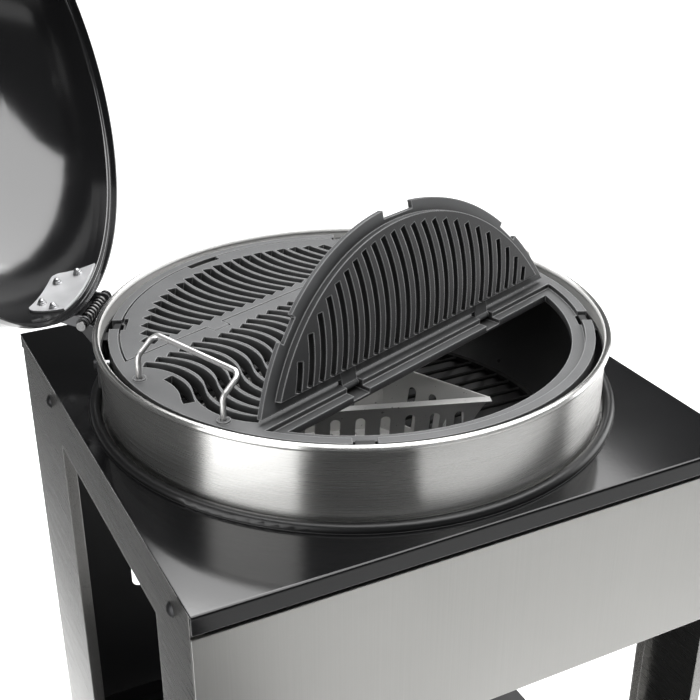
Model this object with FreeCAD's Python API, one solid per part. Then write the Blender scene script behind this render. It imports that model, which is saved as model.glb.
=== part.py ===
import FreeCAD, Part
import math
import os

# Kettle grill let into a square cart table, with its lid open and one wing of the cooking grate flipped up.
# Millimetres, +Z up, +Y to the back. The origin is on the kettle's axis, in the plane of the tabletop.

os.makedirs("parts", exist_ok=True)
V = FreeCAD.Vector
ORIGIN = V(0, 0, 0)
UP = V(0, 0, 1)
ALONG_X = V(1, 0, 0)
ALONG_Y = V(0, 1, 0)

# Clearances
seat_gap = 0.3
pin_clearance = 0.05
press_gap = 0.02

# How far a cutting shape runs past the face it cuts
cut_past = 1.0
hole_past = 9.0

# Kettle: the radius of its band, which the table, grate, hinge and lid follow
band_radius = 284.0
band_wall = 1.5

# Cart table
table_margin = 29.0
table_size = 2 * (band_radius + table_margin)
table_height = 820.0
table_plate = 3.0
skirt_height = 20.0
skirt_wall = 2.0
skirt_bend = 3.0
bead_gap = 3.0
bead_inner = band_radius + bead_gap
bead_width = 13.0
bead_height = 8.0

# Side frames: folded sheet, channel section open to the inside
frame_inset = 8.0
frame_length = table_size - 2 * frame_inset
frame_sheet = 1.5
frame_flange = 14.0
top_rail = 69.0
lower_rail = 123.0
rear_leg = 166.0
front_leg = 100.0

# Panels, rail and shelf
fascia_gap = 28.0
fascia_height = 200.0
fascia_depth = 4.0
fascia_sheet = 1.5
rail_depth = 9.0
rail_height = 40.0
rail_sheet = 2.0
back_sheet = 1.5
back_lift = 67.0
back_inset = 13.0
window_width = 408.0
window_top = 300.0
window_height = 134.0
window_corner = 12.0
shelf_sheet = 2.0
shelf_lip = 25.0
shelf_inset = 8.0
shelf_depth = frame_length - 2 * shelf_inset

# Wheels, axle, feet and bolts
axle_radius = 6.0
axle_inset = 80.0
axle_y = frame_length / 2 - axle_inset
wheel_radius = 100.0
tyre_depth = 14.0
tyre_width = 36.0
hub_radius = 18.0
hub_stand = 2.0
rim_flange = 10.0
web_thickness = 6.0
spoke_count = 6
spoke_hole_radius = 15.0
cap_radius = 15.0
cap_length = 14.0
cap_nose = 0.7
foot_height = 60.0
foot_radius = 15.0
foot_thickness = 12.0
foot_inset = 50.0
foot_y = foot_inset - frame_length / 2
stem_radius = 5.0
foot_nut_radius = 6.5
foot_nut_height = 8.0
bolt_radius = 3.0
bolt_head_radius = 8.0
bolt_head_height = 4.0
bolt_length = 10.0
bolt_drop = 32.0
lower_bolt_drop = 35.0
rear_bolt_inset = 128.0
rear_bolt_y = frame_length / 2 - rear_bolt_inset
front_bolt_y = foot_y

# Bowl and its brushed band
band_flange = 9.0
rim_top = 88.0
rim_roll = 4.0
rim_roll_shift = 1.0
bowl_wall = 1.5
bowl_rim_drop = 20.0
bowl_straight = 48.0
bowl_shoulder = 130.0
bowl_turn = 60.0
vent_count = 3
vent_near = 40.0
vent_far = 80.0
vent_width = 26.0

# Cooking grate: cast iron, in its own plan axes t (along the hinge lines) and n (across them)
grate_turn = 20.6
grate_drop = 6.0
grate_depth = 14.0
grate_room = 10.5
grate_radius = band_radius - band_wall - grate_room
ring_width = 11.0
ledge_ring = 25.0
ledge_radius = grate_radius - ledge_ring
ledge_drop = 6.0
strip_half = 106.0
ledge_width = 10.0
wing_gap = 2.0
wing_body_gap = 2.5
slot_pitch = 16.3
slot_top = 12.3
slot_bottom = 7.6
strip_border = 27.0
strip_wave = 13.6
strip_wave_chord = 86.0
strip_slot_long = 87.0
strip_slot_short = 82.0
end_slot_far = 12.0
end_slot_near = 46.0
wing_wave = 20.0
wing_wave_chord = 150.0
wing_border = 1.0
wing_rim_border = 6.0
least_slot = 9.0
finger_notch = 46.0
finger_notch_depth = 10.0
bracket_notch = 24.0
wing_notch = 30.0
wing_notch_reach = 5.0
notch_depth = 14.0
pivot_inset = 8.0
barrel_radius = 4.0
wing_pin_radius = 2.0
wing_pin_reach = 8.0
lug_width = 22.0
lug_pocket = 24.0
lug_web = 3.0
lug_place = 112.0
wing_open = 103.0

# Lifting handles of the grate
handle_wire = 3.0
handle_inset = 19.0
handle_place = grate_radius - handle_inset
handle_half = 64.0
handle_leg = 26.0
handle_lean = 24.0
handle_rise = 17.0
handle_foot = 12.0
handle_bend = 9.0
handle_hole_gap = 0.6
boss_radius = 7.0
boss_height = 2.0

# Brackets that carry the grate
bracket_sheet = 3.0
bracket_width = 20.0
bracket_leg = 24.0
bracket_reach = 28.0
bracket_lug_depth = 8.0
bracket_lug_height = 11.0

# Charcoal grate and basket
coal_grate_z = -65.0
coal_ring_width = 7.0
coal_ring_height = 6.0
coal_rod = 2.5
coal_rod_pitch = 22.0
basket_length = 1.215 * band_radius
basket_facet = 0.5035 * band_radius
basket_height = 80.0
basket_flare = 12.0
basket_sheet = 1.5
basket_lip = 9.0
basket_slot = 11.0
basket_slot_pitch = 28.0
basket_slot_height = 48.0
basket_slot_floor = 14.0
basket_floor_slots = 4
basket_x = -0.197 * band_radius
basket_y = -0.25 * band_radius
basket_turn = -19.0

# Ash sweeper, collar and can
blade_count = 3
blade_reach = 140.0
blade_thickness = 2.0
blade_gap = 1.0
blade_angle = 12.0
sweeper_hub = 16.0
sweeper_hub_height = 14.0
shaft_radius = 5.0
shaft_drop = 28.0
lever_angle = -60.0
lever_width = 12.0
lever_thickness = 4.0
lever_length = 200.0
lever_lift = 4.0
lever_room = 3.0
lever_boss = 12.0
grip_radius = 9.0
grip_length = 80.0
sweep_range = 25.0
collar_radius = 106.5
collar_wall = 1.5
collar_drop = 39.2
can_wall = 1.5
can_lap = 10.0
can_depth = 110.0
can_taper = 14.0
can_handle_wire = 3.0
can_handle_height = 60.0
can_handle_reach = 32.0
can_handle_angle = -120.0

# Lid hinge, in axes that point out through the hinge
hinge_turn = 145.0
pin_out = 20.0
pin_place = band_radius + pin_out
pin_z = 75.0
lid_open = 107.0
pin_radius = 3.0
ear_sheet = 3.0
lid_ear_place = 34.0
base_ear_place = 40.0
ear_radius = 7.5
base_half_angle = 19.0
base_bolt_angle = 16.0
base_sheet = 2.5
base_bottom = 24.0
base_height = 44.0
base_bolt_z = 45.0
base_bolt_radius = 3.0
base_bolt_head = 6.0
base_bolt_head_height = 4.0
nut_radius = 5.5
nut_height = 5.0
nut_cap = 2.0
pin_head_radius = 4.8
pin_head_length = 5.0
spring_wire = 2.1
spring_radius = 5.9
spring_turns = 7
spring_pitch = 7.6

# Lid
lid_over = 4.0
lid_radius = band_radius + lid_over
lid_wall = 1.5
lid_straight = 10.0
lid_shoulder = 150.0
lid_turn = 60.0
lid_seat = 0.5
skirt_step = 5.5
skirt_radius = lid_radius + skirt_step
skirt_drop = 9.0
rim_bend = 2.5
rim_corner = 2.0
lid_bracket_sheet = 2.5
lid_bracket_half = 62.0
lid_bracket_top = 17.0
hinge_plate_turn = -4.5
hinge_plate_corner = 14.0
hinge_plate_taper = 12.0
lid_bracket_shoulder = 5.0
rim_room = 1.0
inner_plate_half = 58.0
screw_radius = 2.5
screw_head_radius = 5.0
screw_head_height = 3.0
screw_rows = ((4.0, 9.0), (12.5, 5.5))
grip_bar_radius = 11.0
grip_bar_length = 240.0
grip_bar_stand = 46.0
post_radius = 8.0
post_place = 85.0
grip_bar_angle = 10.0
gauge_angle = 42.0
gauge_radius = 30.0
gauge_depth = 16.0
gauge_bezel = 3.0
gauge_stem_radius = 3.0
gauge_stem_length = 60.0
lid_vent_count = 4
lid_vent_radius = 11.0
lid_vent_place = 32.0
damper_radius = 52.0
damper_sheet = 1.5
damper_lift = 0.5
knob_radius = 15.0
knob_height = 16.0
knob_wall = 4.0
knob_room = 1.0
rivet_radius = 3.0
rivet_head_radius = 7.0
rivet_head_height = 3.0


def box(x0, x1, y0, y1, z0, z1):
    return Part.makeBox(x1 - x0, y1 - y0, z1 - z0, V(x0, y0, z0))


def rod(radius, start, end):
    return Part.makeCylinder(radius, (end - start).Length, start, end - start)


def line(p, q):
    return Part.LineSegment(p, q).toShape()


def arc(p, middle, q):
    return Part.Arc(p, middle, q).toShape()


def half_section(points):
    """A closed straight-sided profile of (radius, height) points, for turning about the Z axis."""
    corners = [V(r, 0, z) for r, z in points]
    return Part.Face(Part.makePolygon(corners + corners[:1]))


def turned(face, degrees=360.0, start=0.0):
    solid = face.revolve(ORIGIN, UP, degrees)
    solid.rotate(ORIGIN, UP, start)
    return solid


def ring(inner, outer, z0, z1):
    return turned(half_section([(inner, z0), (outer, z0), (outer, z1), (inner, z1)]))


def turn_z(shape, degrees):
    turned_copy = shape.copy()
    turned_copy.rotate(ORIGIN, UP, degrees)
    return turned_copy


def around(shape, count, start=0.0):
    return [turn_z(shape, start + 360.0 * i / count) for i in range(count)]


def rounded_path(points, radius):
    """Straight runs joined by tangent arcs of one bend radius."""
    edges = []
    run_start = points[0]
    for before, corner, after in zip(points, points[1:], points[2:]):
        back = (before - corner).normalize()
        ahead = (after - corner).normalize()
        half_turn = back.getAngle(ahead) / 2.0
        trim = radius / math.tan(half_turn)
        centre_way = (back + ahead).normalize()
        inside = centre_way * (radius / math.sin(half_turn) - radius)
        edges.append(line(run_start, corner + back * trim))
        edges.append(arc(corner + back * trim, corner + inside, corner + ahead * trim))
        run_start = corner + ahead * trim
    edges.append(line(run_start, points[-1]))
    return Part.Wire(edges)


def bent_wire(points, wire_radius, bend_radius):
    path = rounded_path(points, bend_radius)
    first_run = points[1] - points[0]
    section = Part.Wire(Part.makeCircle(wire_radius, points[0], first_run))
    return path.makePipeShell([section], True, False)


class KettleCurve:
    """Half section of a round kettle wall: a straight rim, a shoulder arc, and a crown arc to the axis."""

    def __init__(self, radius, rim_z, straight, shoulder, turn, side):
        self.radius = radius
        self.rim_z = rim_z
        self.straight = straight
        self.shoulder = shoulder
        self.turn = turn
        self.side = side
        self.shoulder_r = radius - shoulder
        self.shoulder_z = rim_z + side * straight
        reach = self.shoulder_r / math.cos(math.radians(turn))
        self.crown_z = self.shoulder_z - side * reach * math.sin(math.radians(turn))
        self.crown_radius = shoulder + reach

    def offset(self, distance):
        return KettleCurve(
            self.radius + distance, self.rim_z, self.straight, self.shoulder + distance, self.turn, self.side
        )

    def shoulder_point(self, degrees):
        angle = math.radians(degrees)
        r = self.shoulder_r + self.shoulder * math.cos(angle)
        return V(r, 0, self.shoulder_z + self.side * self.shoulder * math.sin(angle))

    def crown_height(self, r):
        return self.crown_z + self.side * math.sqrt(self.crown_radius ** 2 - r ** 2)

    def crown_point(self, r):
        return V(r, 0, self.crown_height(r))

    def rim(self):
        return V(self.radius, 0, self.rim_z)

    def edges(self):
        shoulder_end = self.shoulder_point(self.turn)
        return [
            line(self.rim(), self.shoulder_point(0)),
            arc(self.shoulder_point(0), self.shoulder_point(self.turn / 2), shoulder_end),
            arc(shoulder_end, self.crown_point(shoulder_end.x / 2), self.crown_point(0)),
        ]

    def filled(self):
        axis_foot = V(0, 0, self.rim_z)
        closing = [line(self.crown_point(0), axis_foot), line(axis_foot, self.rim())]
        return turned(Part.Face(Part.Wire(self.edges() + closing)))


def wall_patch(curve, near, far, arc_deg, half_angle):
    """Sheet parallel to a kettle wall, from its straight rim round arc_deg of its shoulder."""
    inner = curve.offset(near)
    outer = curve.offset(far)
    low_in = inner.rim()
    low_out = outer.rim()
    profile = [
        line(low_out, outer.shoulder_point(0)),
        arc(outer.shoulder_point(0), outer.shoulder_point(arc_deg / 2), outer.shoulder_point(arc_deg)),
        line(outer.shoulder_point(arc_deg), inner.shoulder_point(arc_deg)),
        arc(inner.shoulder_point(arc_deg), inner.shoulder_point(arc_deg / 2), inner.shoulder_point(0)),
        line(inner.shoulder_point(0), low_in),
        line(low_in, low_out),
    ]
    return turned(Part.Face(Part.Wire(profile)), 2 * half_angle, -half_angle)


def export(node, solids):
    shape = solids if isinstance(solids, Part.Shape) else Part.makeCompound(solids)
    shape = shape.removeSplitter()
    shape.exportStep("parts/" + node + ".step")


table_half = table_size / 2
frame_half = frame_length / 2
floor_z = -table_height
bead_outer = bead_inner + bead_width
band_inner = band_radius - band_wall


# Tabletop: a folded steel tray with skirts at the front and back, and a bead pressed up round the kettle
def tabletop():
    h = table_half
    bend_mid = skirt_bend * (1 - math.sqrt(0.5))
    section = [
        line(V(-h, -h, -skirt_height), V(-h, -h, -skirt_bend)),
        arc(V(-h, -h, -skirt_bend), V(-h, -h + bend_mid, -bend_mid), V(-h, -h + skirt_bend, 0)),
        line(V(-h, -h + skirt_bend, 0), V(-h, h - skirt_bend, 0)),
        arc(V(-h, h - skirt_bend, 0), V(-h, h - bend_mid, -bend_mid), V(-h, h, -skirt_bend)),
        line(V(-h, h, -skirt_bend), V(-h, h, -skirt_height)),
        line(V(-h, h, -skirt_height), V(-h, h - skirt_wall, -skirt_height)),
        line(V(-h, h - skirt_wall, -skirt_height), V(-h, h - skirt_wall, -table_plate)),
        line(V(-h, h - skirt_wall, -table_plate), V(-h, skirt_wall - h, -table_plate)),
        line(V(-h, skirt_wall - h, -table_plate), V(-h, skirt_wall - h, -skirt_height)),
        line(V(-h, skirt_wall - h, -skirt_height), V(-h, -h, -skirt_height)),
    ]
    tray = Part.Face(Part.Wire(section)).extrude(V(table_size, 0, 0))
    tray = tray.cut(Part.makeCylinder(bead_inner, 3 * table_plate, V(0, 0, -2 * table_plate)))
    crest_radius = bead_width / 2
    crest_z = bead_height - crest_radius
    crest = V(bead_inner + crest_radius, 0, bead_height)
    foot = -table_plate / 2
    bead = Part.Face(Part.Wire([
        line(V(bead_inner, 0, foot), V(bead_outer, 0, foot)),
        line(V(bead_outer, 0, foot), V(bead_outer, 0, crest_z)),
        arc(V(bead_outer, 0, crest_z), crest, V(bead_inner, 0, crest_z)),
        line(V(bead_inner, 0, crest_z), V(bead_inner, 0, foot)),
    ]))
    return tray.fuse(turned(bead))


export("tabletop", tabletop())


# Side frames: one folded sheet each, with a wide rear leg, a front leg and two rails round an open window
frame_top = -table_plate
frame_bottom = floor_z + foot_height
window_front = -frame_half + front_leg
window_back = frame_half - rear_leg
side_window_top = frame_top - top_rail
side_window_bottom = frame_bottom + lower_rail
axle_z = floor_z + wheel_radius
bolt_spots = [
    (rear_bolt_y, -bolt_drop),
    (front_bolt_y, -bolt_drop),
    (rear_bolt_y, side_window_bottom - lower_bolt_drop),
    (front_bolt_y, side_window_bottom - lower_bolt_drop),
]


def side_frame(side):
    outer_x = side * table_half
    inner_x = side * (table_half - frame_flange)
    web_x = side * (table_half - frame_sheet)

    def slab(x0, x1, grow):
        low, high = min(x0, x1), max(x0, x1)
        whole = box(low, high, -frame_half + grow, frame_half - grow, frame_bottom + grow, frame_top - grow)
        hole = box(
            low, high, window_front - grow, window_back + grow,
            side_window_bottom - grow, side_window_top + grow,
        )
        return whole.cut(hole)

    frame = slab(outer_x, inner_x, 0).cut(slab(web_x, inner_x, frame_sheet))
    through = V(side * frame_flange, 0, 0)
    holes = [rod(bolt_radius + seat_gap, V(inner_x, y, z), V(inner_x, y, z) + through) for y, z in bolt_spots]
    axle_start = V(inner_x, axle_y, axle_z)
    holes.append(rod(axle_radius + pin_clearance, axle_start, axle_start + through))
    return frame.cut(Part.makeCompound(holes))


export("left_side_frame", side_frame(-1))
export("right_side_frame", side_frame(1))


# Frame bolts: domed heads on the outside of both side frames
def frame_bolt(side, y, z):
    face = V(side * table_half, y, z)
    out = V(side, 0, 0)
    ball_radius = (bolt_head_radius ** 2 + bolt_head_height ** 2) / (2 * bolt_head_height)
    ball = Part.makeSphere(ball_radius, face + out * (bolt_head_height - ball_radius))
    head = ball.common(rod(bolt_head_radius, face, face + out * bolt_head_height))
    return head.fuse(rod(bolt_radius, face - out * bolt_length, face))


export("frame_bolts", [frame_bolt(side, y, z) for side in (-1, 1) for y, z in bolt_spots])


# Front fascia: a shallow brushed tray on the front flanges of the side frames
def front_fascia():
    back_y = -frame_half
    front_y = back_y - fascia_depth
    top = -fascia_gap
    bottom = top - fascia_height
    tray = box(-table_half, table_half, front_y, back_y, bottom, top)
    inside = box(
        -table_half + fascia_sheet, table_half - fascia_sheet, front_y + fascia_sheet, back_y,
        bottom + fascia_sheet, top - fascia_sheet,
    )
    return tray.cut(inside)


export("front_fascia", front_fascia())

# Front cross rail: an angle under the front edge of the tabletop, between the side frames
rail_half = table_half - frame_flange - seat_gap
rail_front = -frame_half + frame_sheet
rail = box(-rail_half, rail_half, rail_front, rail_front + rail_depth, frame_top - rail_height, frame_top)
rail = rail.cut(box(
    -rail_half, rail_half, rail_front + rail_sheet, rail_front + rail_depth, frame_top - rail_height,
    frame_top - rail_sheet,
))
export("front_cross_rail", rail)


# Back panel: flat sheet on the rear flanges, with a rounded window
def back_panel():
    half_width = table_half - back_inset
    back_face = frame_half + back_sheet
    sheet = box(-half_width, half_width, frame_half, back_face, frame_bottom + back_lift, frame_top)
    window_half = window_width / 2
    window = box(
        -window_half, window_half, frame_half - cut_past, back_face + cut_past,
        -window_top - window_height, -window_top,
    )
    corners = [e for e in window.Edges if e.BoundBox.YLength > back_sheet]
    return sheet.cut(window.makeFillet(window_corner, corners))


export("back_panel", back_panel())


# Bottom shelf: a tray between the side frames, with tongues that lie on their lower rails
def bottom_shelf():
    tongue_half = table_half - frame_sheet - seat_gap
    tray_half = table_half - frame_flange - seat_gap
    depth_half = shelf_depth / 2
    z0 = side_window_bottom
    z1 = z0 + shelf_sheet
    tongues = box(
        -tongue_half, tongue_half, window_front + frame_sheet, window_back - frame_sheet, z0, z1
    )
    tray = box(-tray_half, tray_half, -depth_half, depth_half, z0, z0 + shelf_lip)
    tray = tray.cut(box(
        -tray_half, tray_half, -depth_half + shelf_sheet, depth_half - shelf_sheet, z1, z0 + shelf_lip
    ))
    return tray.fuse(tongues)


export("bottom_shelf", bottom_shelf())

# Axle, wheels and caps: a plain rod through the rear legs, with a wheel turning on each end
hub_start = table_half + seat_gap
hub_length = tyre_width + hub_stand
hub_end = hub_start + hub_length
axle_end = hub_end + cap_length / 2
export("wheel_axle", rod(axle_radius, V(-axle_end, axle_y, axle_z), V(axle_end, axle_y, axle_z)))


def on_axle(turned_solid, side):
    """Take a solid turned about Z, with z from 0 outwards, to one end of the axle."""
    placed = turned_solid.copy()
    placed.rotate(ORIGIN, ALONG_Y, 90 * side)
    placed.translate(V(side * hub_start, axle_y, axle_z))
    return placed


def wheel_rim():
    tread = wheel_radius - tyre_depth - press_gap
    edge = hub_length - tyre_width
    inner = tread - rim_flange
    web_in = (hub_length - web_thickness) / 2
    web_out = (hub_length + web_thickness) / 2
    bore = axle_radius + pin_clearance
    profile = half_section([
        (bore, 0), (hub_radius, 0), (hub_radius, web_in), (inner, web_in), (inner, edge), (tread, edge),
        (tread, hub_length), (inner, hub_length), (inner, web_out), (hub_radius, web_out),
        (hub_radius, hub_length), (bore, hub_length),
    ])
    hole_place = (hub_radius + inner) / 2
    hole = Part.makeCylinder(spoke_hole_radius, hub_length, V(hole_place, 0, 0))
    return turned(profile).cut(Part.makeCompound(around(hole, spoke_count)))


def tyre():
    inner = wheel_radius - tyre_depth
    edge = hub_length - tyre_width
    shoulder = wheel_radius - tyre_depth / 2
    profile = Part.Face(Part.Wire([
        line(V(inner, 0, edge), V(shoulder, 0, edge)),
        arc(V(shoulder, 0, edge), V(wheel_radius, 0, edge + tyre_width / 2), V(shoulder, 0, hub_length)),
        line(V(shoulder, 0, hub_length), V(inner, 0, hub_length)),
        line(V(inner, 0, hub_length), V(inner, 0, edge)),
    ]))
    return turned(profile)


def axle_cap():
    start = hub_length + seat_gap
    end = start + cap_length
    bore_end = axle_end - hub_start + seat_gap
    bore = axle_radius + press_gap
    return turned(half_section([
        (bore, start), (cap_radius, start), (cap_radius, end - cap_length / 3), (cap_radius * cap_nose, end),
        (0, end), (0, bore_end), (bore, bore_end),
    ]))


for side_name, side in (("left", -1), ("right", 1)):
    export(side_name + "_wheel_rim", on_axle(wheel_rim(), side))
    export(side_name + "_tyre", on_axle(tyre(), side))
export("axle_caps", [on_axle(axle_cap(), side) for side in (-1, 1)])


# Levelling feet: a pad and a stem with a nut up against each front leg
def levelling_foot(side):
    profile = half_section([
        (0, floor_z), (foot_radius, floor_z), (foot_radius, floor_z + foot_thickness / 3),
        (stem_radius, floor_z + foot_thickness), (stem_radius, frame_bottom - foot_nut_height),
        (foot_nut_radius, frame_bottom - foot_nut_height), (foot_nut_radius, frame_bottom), (0, frame_bottom),
    ])
    foot = turned(profile)
    foot.translate(V(side * (table_half - frame_flange / 2), foot_y, 0))
    return foot


export("front_feet", [levelling_foot(side) for side in (-1, 1)])

# Bowl band: brushed sheet with a rolled rim, let through the table and flanged under it
roll_r = band_radius + rim_roll_shift
roll_z = rim_top - rim_roll
outer_meet = roll_z - math.sqrt(rim_roll ** 2 - rim_roll_shift ** 2)
inner_meet = roll_z - math.sqrt(rim_roll ** 2 - (rim_roll_shift + band_wall) ** 2)
band_bottom = -table_plate - band_wall
band_profile = [
    line(V(band_inner, 0, band_bottom), V(band_radius + band_flange, 0, band_bottom)),
    line(V(band_radius + band_flange, 0, band_bottom), V(band_radius + band_flange, 0, -table_plate)),
    line(V(band_radius + band_flange, 0, -table_plate), V(band_radius, 0, -table_plate)),
    line(V(band_radius, 0, -table_plate), V(band_radius, 0, outer_meet)),
    arc(V(band_radius, 0, outer_meet), V(roll_r, 0, rim_top), V(band_inner, 0, inner_meet)),
    line(V(band_inner, 0, inner_meet), V(band_inner, 0, band_bottom)),
]
bowl = KettleCurve(
    band_inner - seat_gap, rim_top - bowl_rim_drop, bowl_straight, bowl_shoulder, bowl_turn, -1
)
bowl_inside = bowl.offset(-bowl_wall)


def out_at(degrees, z, r):
    angle = math.radians(degrees)
    return V(r * math.cos(angle), r * math.sin(angle), z)


def radial_rod(radius, degrees, z, r0, r1):
    return rod(radius, out_at(degrees, z, r0), out_at(degrees, z, r1))


base_bolt_turns = [hinge_turn - base_bolt_angle, hinge_turn + base_bolt_angle]
base_bolt_holes = Part.makeCompound([
    radial_rod(
        base_bolt_radius + pin_clearance, turn, base_bolt_z,
        bowl_inside.radius - hole_past, band_radius + hole_past,
    )
    for turn in base_bolt_turns
])
export("bowl_band", turned(Part.Face(Part.Wire(band_profile))).cut(base_bolt_holes))


# Bowl: pressed and enamelled, with ash vents round the sweeper's shaft
def bowl_shell():
    inner_top = bowl_inside.crown_point(0)
    back_edges = [line(bowl.crown_point(0), inner_top)] + bowl_inside.edges()[::-1]
    back_edges.append(line(bowl_inside.rim(), bowl.rim()))
    shell = turned(Part.Face(Part.Wire(Part.__sortEdges__(bowl.edges() + back_edges))))
    floor = bowl.crown_height(0) - bowl_wall
    vent_height = bowl_shoulder / 2
    vent = box(vent_near, vent_far, -vent_width / 2, vent_width / 2, floor, floor + vent_height)
    vent = vent.fuse(Part.makeCylinder(vent_width / 2, vent_height, V(vent_near, 0, floor)))
    vent = vent.fuse(Part.makeCylinder(vent_width / 2, vent_height, V(vent_far, 0, floor)))
    cuts = around(vent, vent_count)
    cuts.append(Part.makeCylinder(shaft_radius + pin_clearance, vent_height, V(0, 0, floor)))
    cuts.append(base_bolt_holes)
    return shell.cut(Part.makeCompound(cuts))


export("bowl", bowl_shell())

# Cooking grate levels and hinge lines
grate_top = rim_top - grate_drop
grate_under = grate_top - grate_depth
ledge_top = grate_top - ledge_drop
pivot_n = strip_half - pivot_inset
pivot_z = grate_top - barrel_radius
pocket_radius = grate_radius - ring_width
wing_radius = pocket_radius - wing_gap
wing_edge = strip_half + wing_gap
wing_under = ledge_top + seat_gap
wing_body_edge = strip_half + ledge_width + wing_body_gap
wing_body_radius = ledge_radius - wing_body_gap
stop_reach = barrel_radius * math.tan(math.radians(wing_open / 2)) + seat_gap
bracket_turns = [grate_turn + 45 + 90 * i for i in range(4)]


class Bend:
    """One arc of a wavy slot's middle line. side is 1 where it bulges to +t and -1 where it bulges to -t."""

    def __init__(self, t, n, radius, side, low, high):
        self.t = t
        self.n = n
        self.radius = radius
        self.side = side
        self.low = low
        self.high = high

    def point(self, angle, shift, z):
        reach = self.radius + self.side * shift
        return V(self.t + self.side * reach * math.cos(angle), self.n + reach * math.sin(angle), z)

    def side_arc(self, shift, z):
        angles = (self.low, (self.low + self.high) / 2, self.high)
        return arc(*[self.point(angle, shift, z) for angle in angles])

    def end_line(self, angle, half, z):
        return line(self.point(angle, half, z), self.point(angle, -half, z))

    def angle_at(self, n):
        return math.asin((n - self.n) / self.radius)


def slot_outline(bends, half, z):
    first, last = bends[0], bends[-1]
    edges = [bend.side_arc(half, z) for bend in bends]
    edges.append(last.end_line(last.high, half, z))
    edges += [bend.side_arc(-half, z) for bend in reversed(bends)]
    edges.append(first.end_line(first.low, half, z))
    return Part.Wire(Part.__sortEdges__(edges))


def tapered_slot(bends):
    """A slot through the casting, wider at the top, so that the bars between slots stand narrow side up."""
    wires = [
        slot_outline(bends, slot_bottom / 2, grate_under),
        slot_outline(bends, slot_top / 2, grate_top),
    ]
    return Part.makeLoft(wires, True, True)


def bend_radius(chord, height):
    return (chord ** 2 / 4 + height ** 2) / (2 * height)


def strip_slot(t, low_n, high_n):
    """A slot of two opposite bends that meet at n = 0."""
    chord = strip_wave_chord
    radius = bend_radius(chord, strip_wave)
    inset = radius - strip_wave
    near = Bend(t + inset, -chord / 2, radius, -1, 0, 0)
    far = Bend(t - inset, chord / 2, radius, 1, 0, 0)
    near.low = near.angle_at(low_n)
    near.high = near.angle_at(0)
    far.low = far.angle_at(0)
    far.high = far.angle_at(high_n)
    return tapered_slot([near, far])


def strip_slots():
    """Slots across the strip, shorter beside the wing lugs, and one between the feet of each handle."""
    count = int((grate_radius - strip_border) / slot_pitch)
    slots = []
    for i in range(1 - count, count):
        t = i * slot_pitch
        beside_lug = abs(abs(t) - lug_place) < lug_pocket / 2 + slot_pitch
        half = strip_slot_short if beside_lug else strip_slot_long
        slots.append(strip_slot(t, -half, half))
    return slots + both_ways(strip_slot(count * slot_pitch, -end_slot_near, end_slot_far))


def d_plan(radius, edge, z0, z1):
    """Round plan cut off by a straight edge at n = edge."""
    disc = Part.makeCylinder(radius, z1 - z0, V(0, 0, z0))
    return disc.cut(box(-2 * radius, 2 * radius, -2 * radius, edge, z0, z1))


def both_ways(shape):
    return [shape, turn_z(shape, 180)]


def pivot_rod(radius, t, half):
    """A rod along the rear wing's hinge line, with its middle at t."""
    return rod(radius, V(t - half, pivot_n, pivot_z), V(t + half, pivot_n, pivot_z))


# Grate frame: one casting, with a ring, a ledge for the wings and a strip of wavy bars across the middle
def grate_frame():
    disc = Part.makeCylinder(grate_radius, grate_depth, V(0, 0, grate_under))
    hole_spots = [V(t, n, 0) for t in (-handle_place, handle_place) for n in (-handle_half, handle_half)]
    bosses = [Part.makeCylinder(boss_radius, boss_height, spot + V(0, 0, grate_top)) for spot in hole_spots]
    disc = disc.fuse(bosses)
    hole_height = grate_depth + boss_height
    cuts = [
        Part.makeCylinder(handle_wire + handle_hole_gap, hole_height, spot + V(0, 0, grate_under))
        for spot in hole_spots
    ]
    recess = d_plan(pocket_radius, strip_half, ledge_top, grate_top)
    opening = d_plan(ledge_radius, strip_half + ledge_width, grate_under, grate_top)
    pocket_end = strip_half + ledge_width
    hole_half = lug_pocket / 2 + wing_pin_reach
    for t in (-lug_place, lug_place):
        pocket = box(
            t - lug_pocket / 2, t + lug_pocket / 2, pivot_n - stop_reach, pocket_end,
            grate_under + lug_web, grate_top,
        )
        cuts += both_ways(pocket) + both_ways(pivot_rod(wing_pin_radius + pin_clearance, t, hole_half))
    cuts += both_ways(recess) + both_ways(opening)
    notch = box(
        grate_radius - notch_depth, grate_radius + cut_past, -bracket_notch / 2, bracket_notch / 2,
        grate_under, grate_top,
    )
    cuts += around(notch, 4, 45)
    for tool in cuts + strip_slots():
        disc = disc.cut(tool)
    return disc


export("grate_frame", turn_z(grate_frame(), grate_turn))


# Wings: two like castings, hinged along the strip, with a thin flange on the ledge and deep curved bars
def wing_slot(t):
    radius = bend_radius(wing_wave_chord, wing_wave)
    centre_n = wing_edge + wing_wave_chord / 2
    centre_t = t + radius - wing_wave
    start_n = wing_body_edge + wing_border
    limit = wing_body_radius - wing_rim_border
    bend = Bend(centre_t, centre_n, radius, -1, 0, 0)
    bend.low = bend.angle_at(start_n)
    bend.high = bend.low
    step = 0.5 / radius
    while max(bend.point(bend.high + step, side * slot_top / 2, 0).Length for side in (-1, 1)) < limit:
        bend.high += step
    if (bend.high - bend.low) * radius < least_slot:
        return None
    return tapered_slot([bend])


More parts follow.
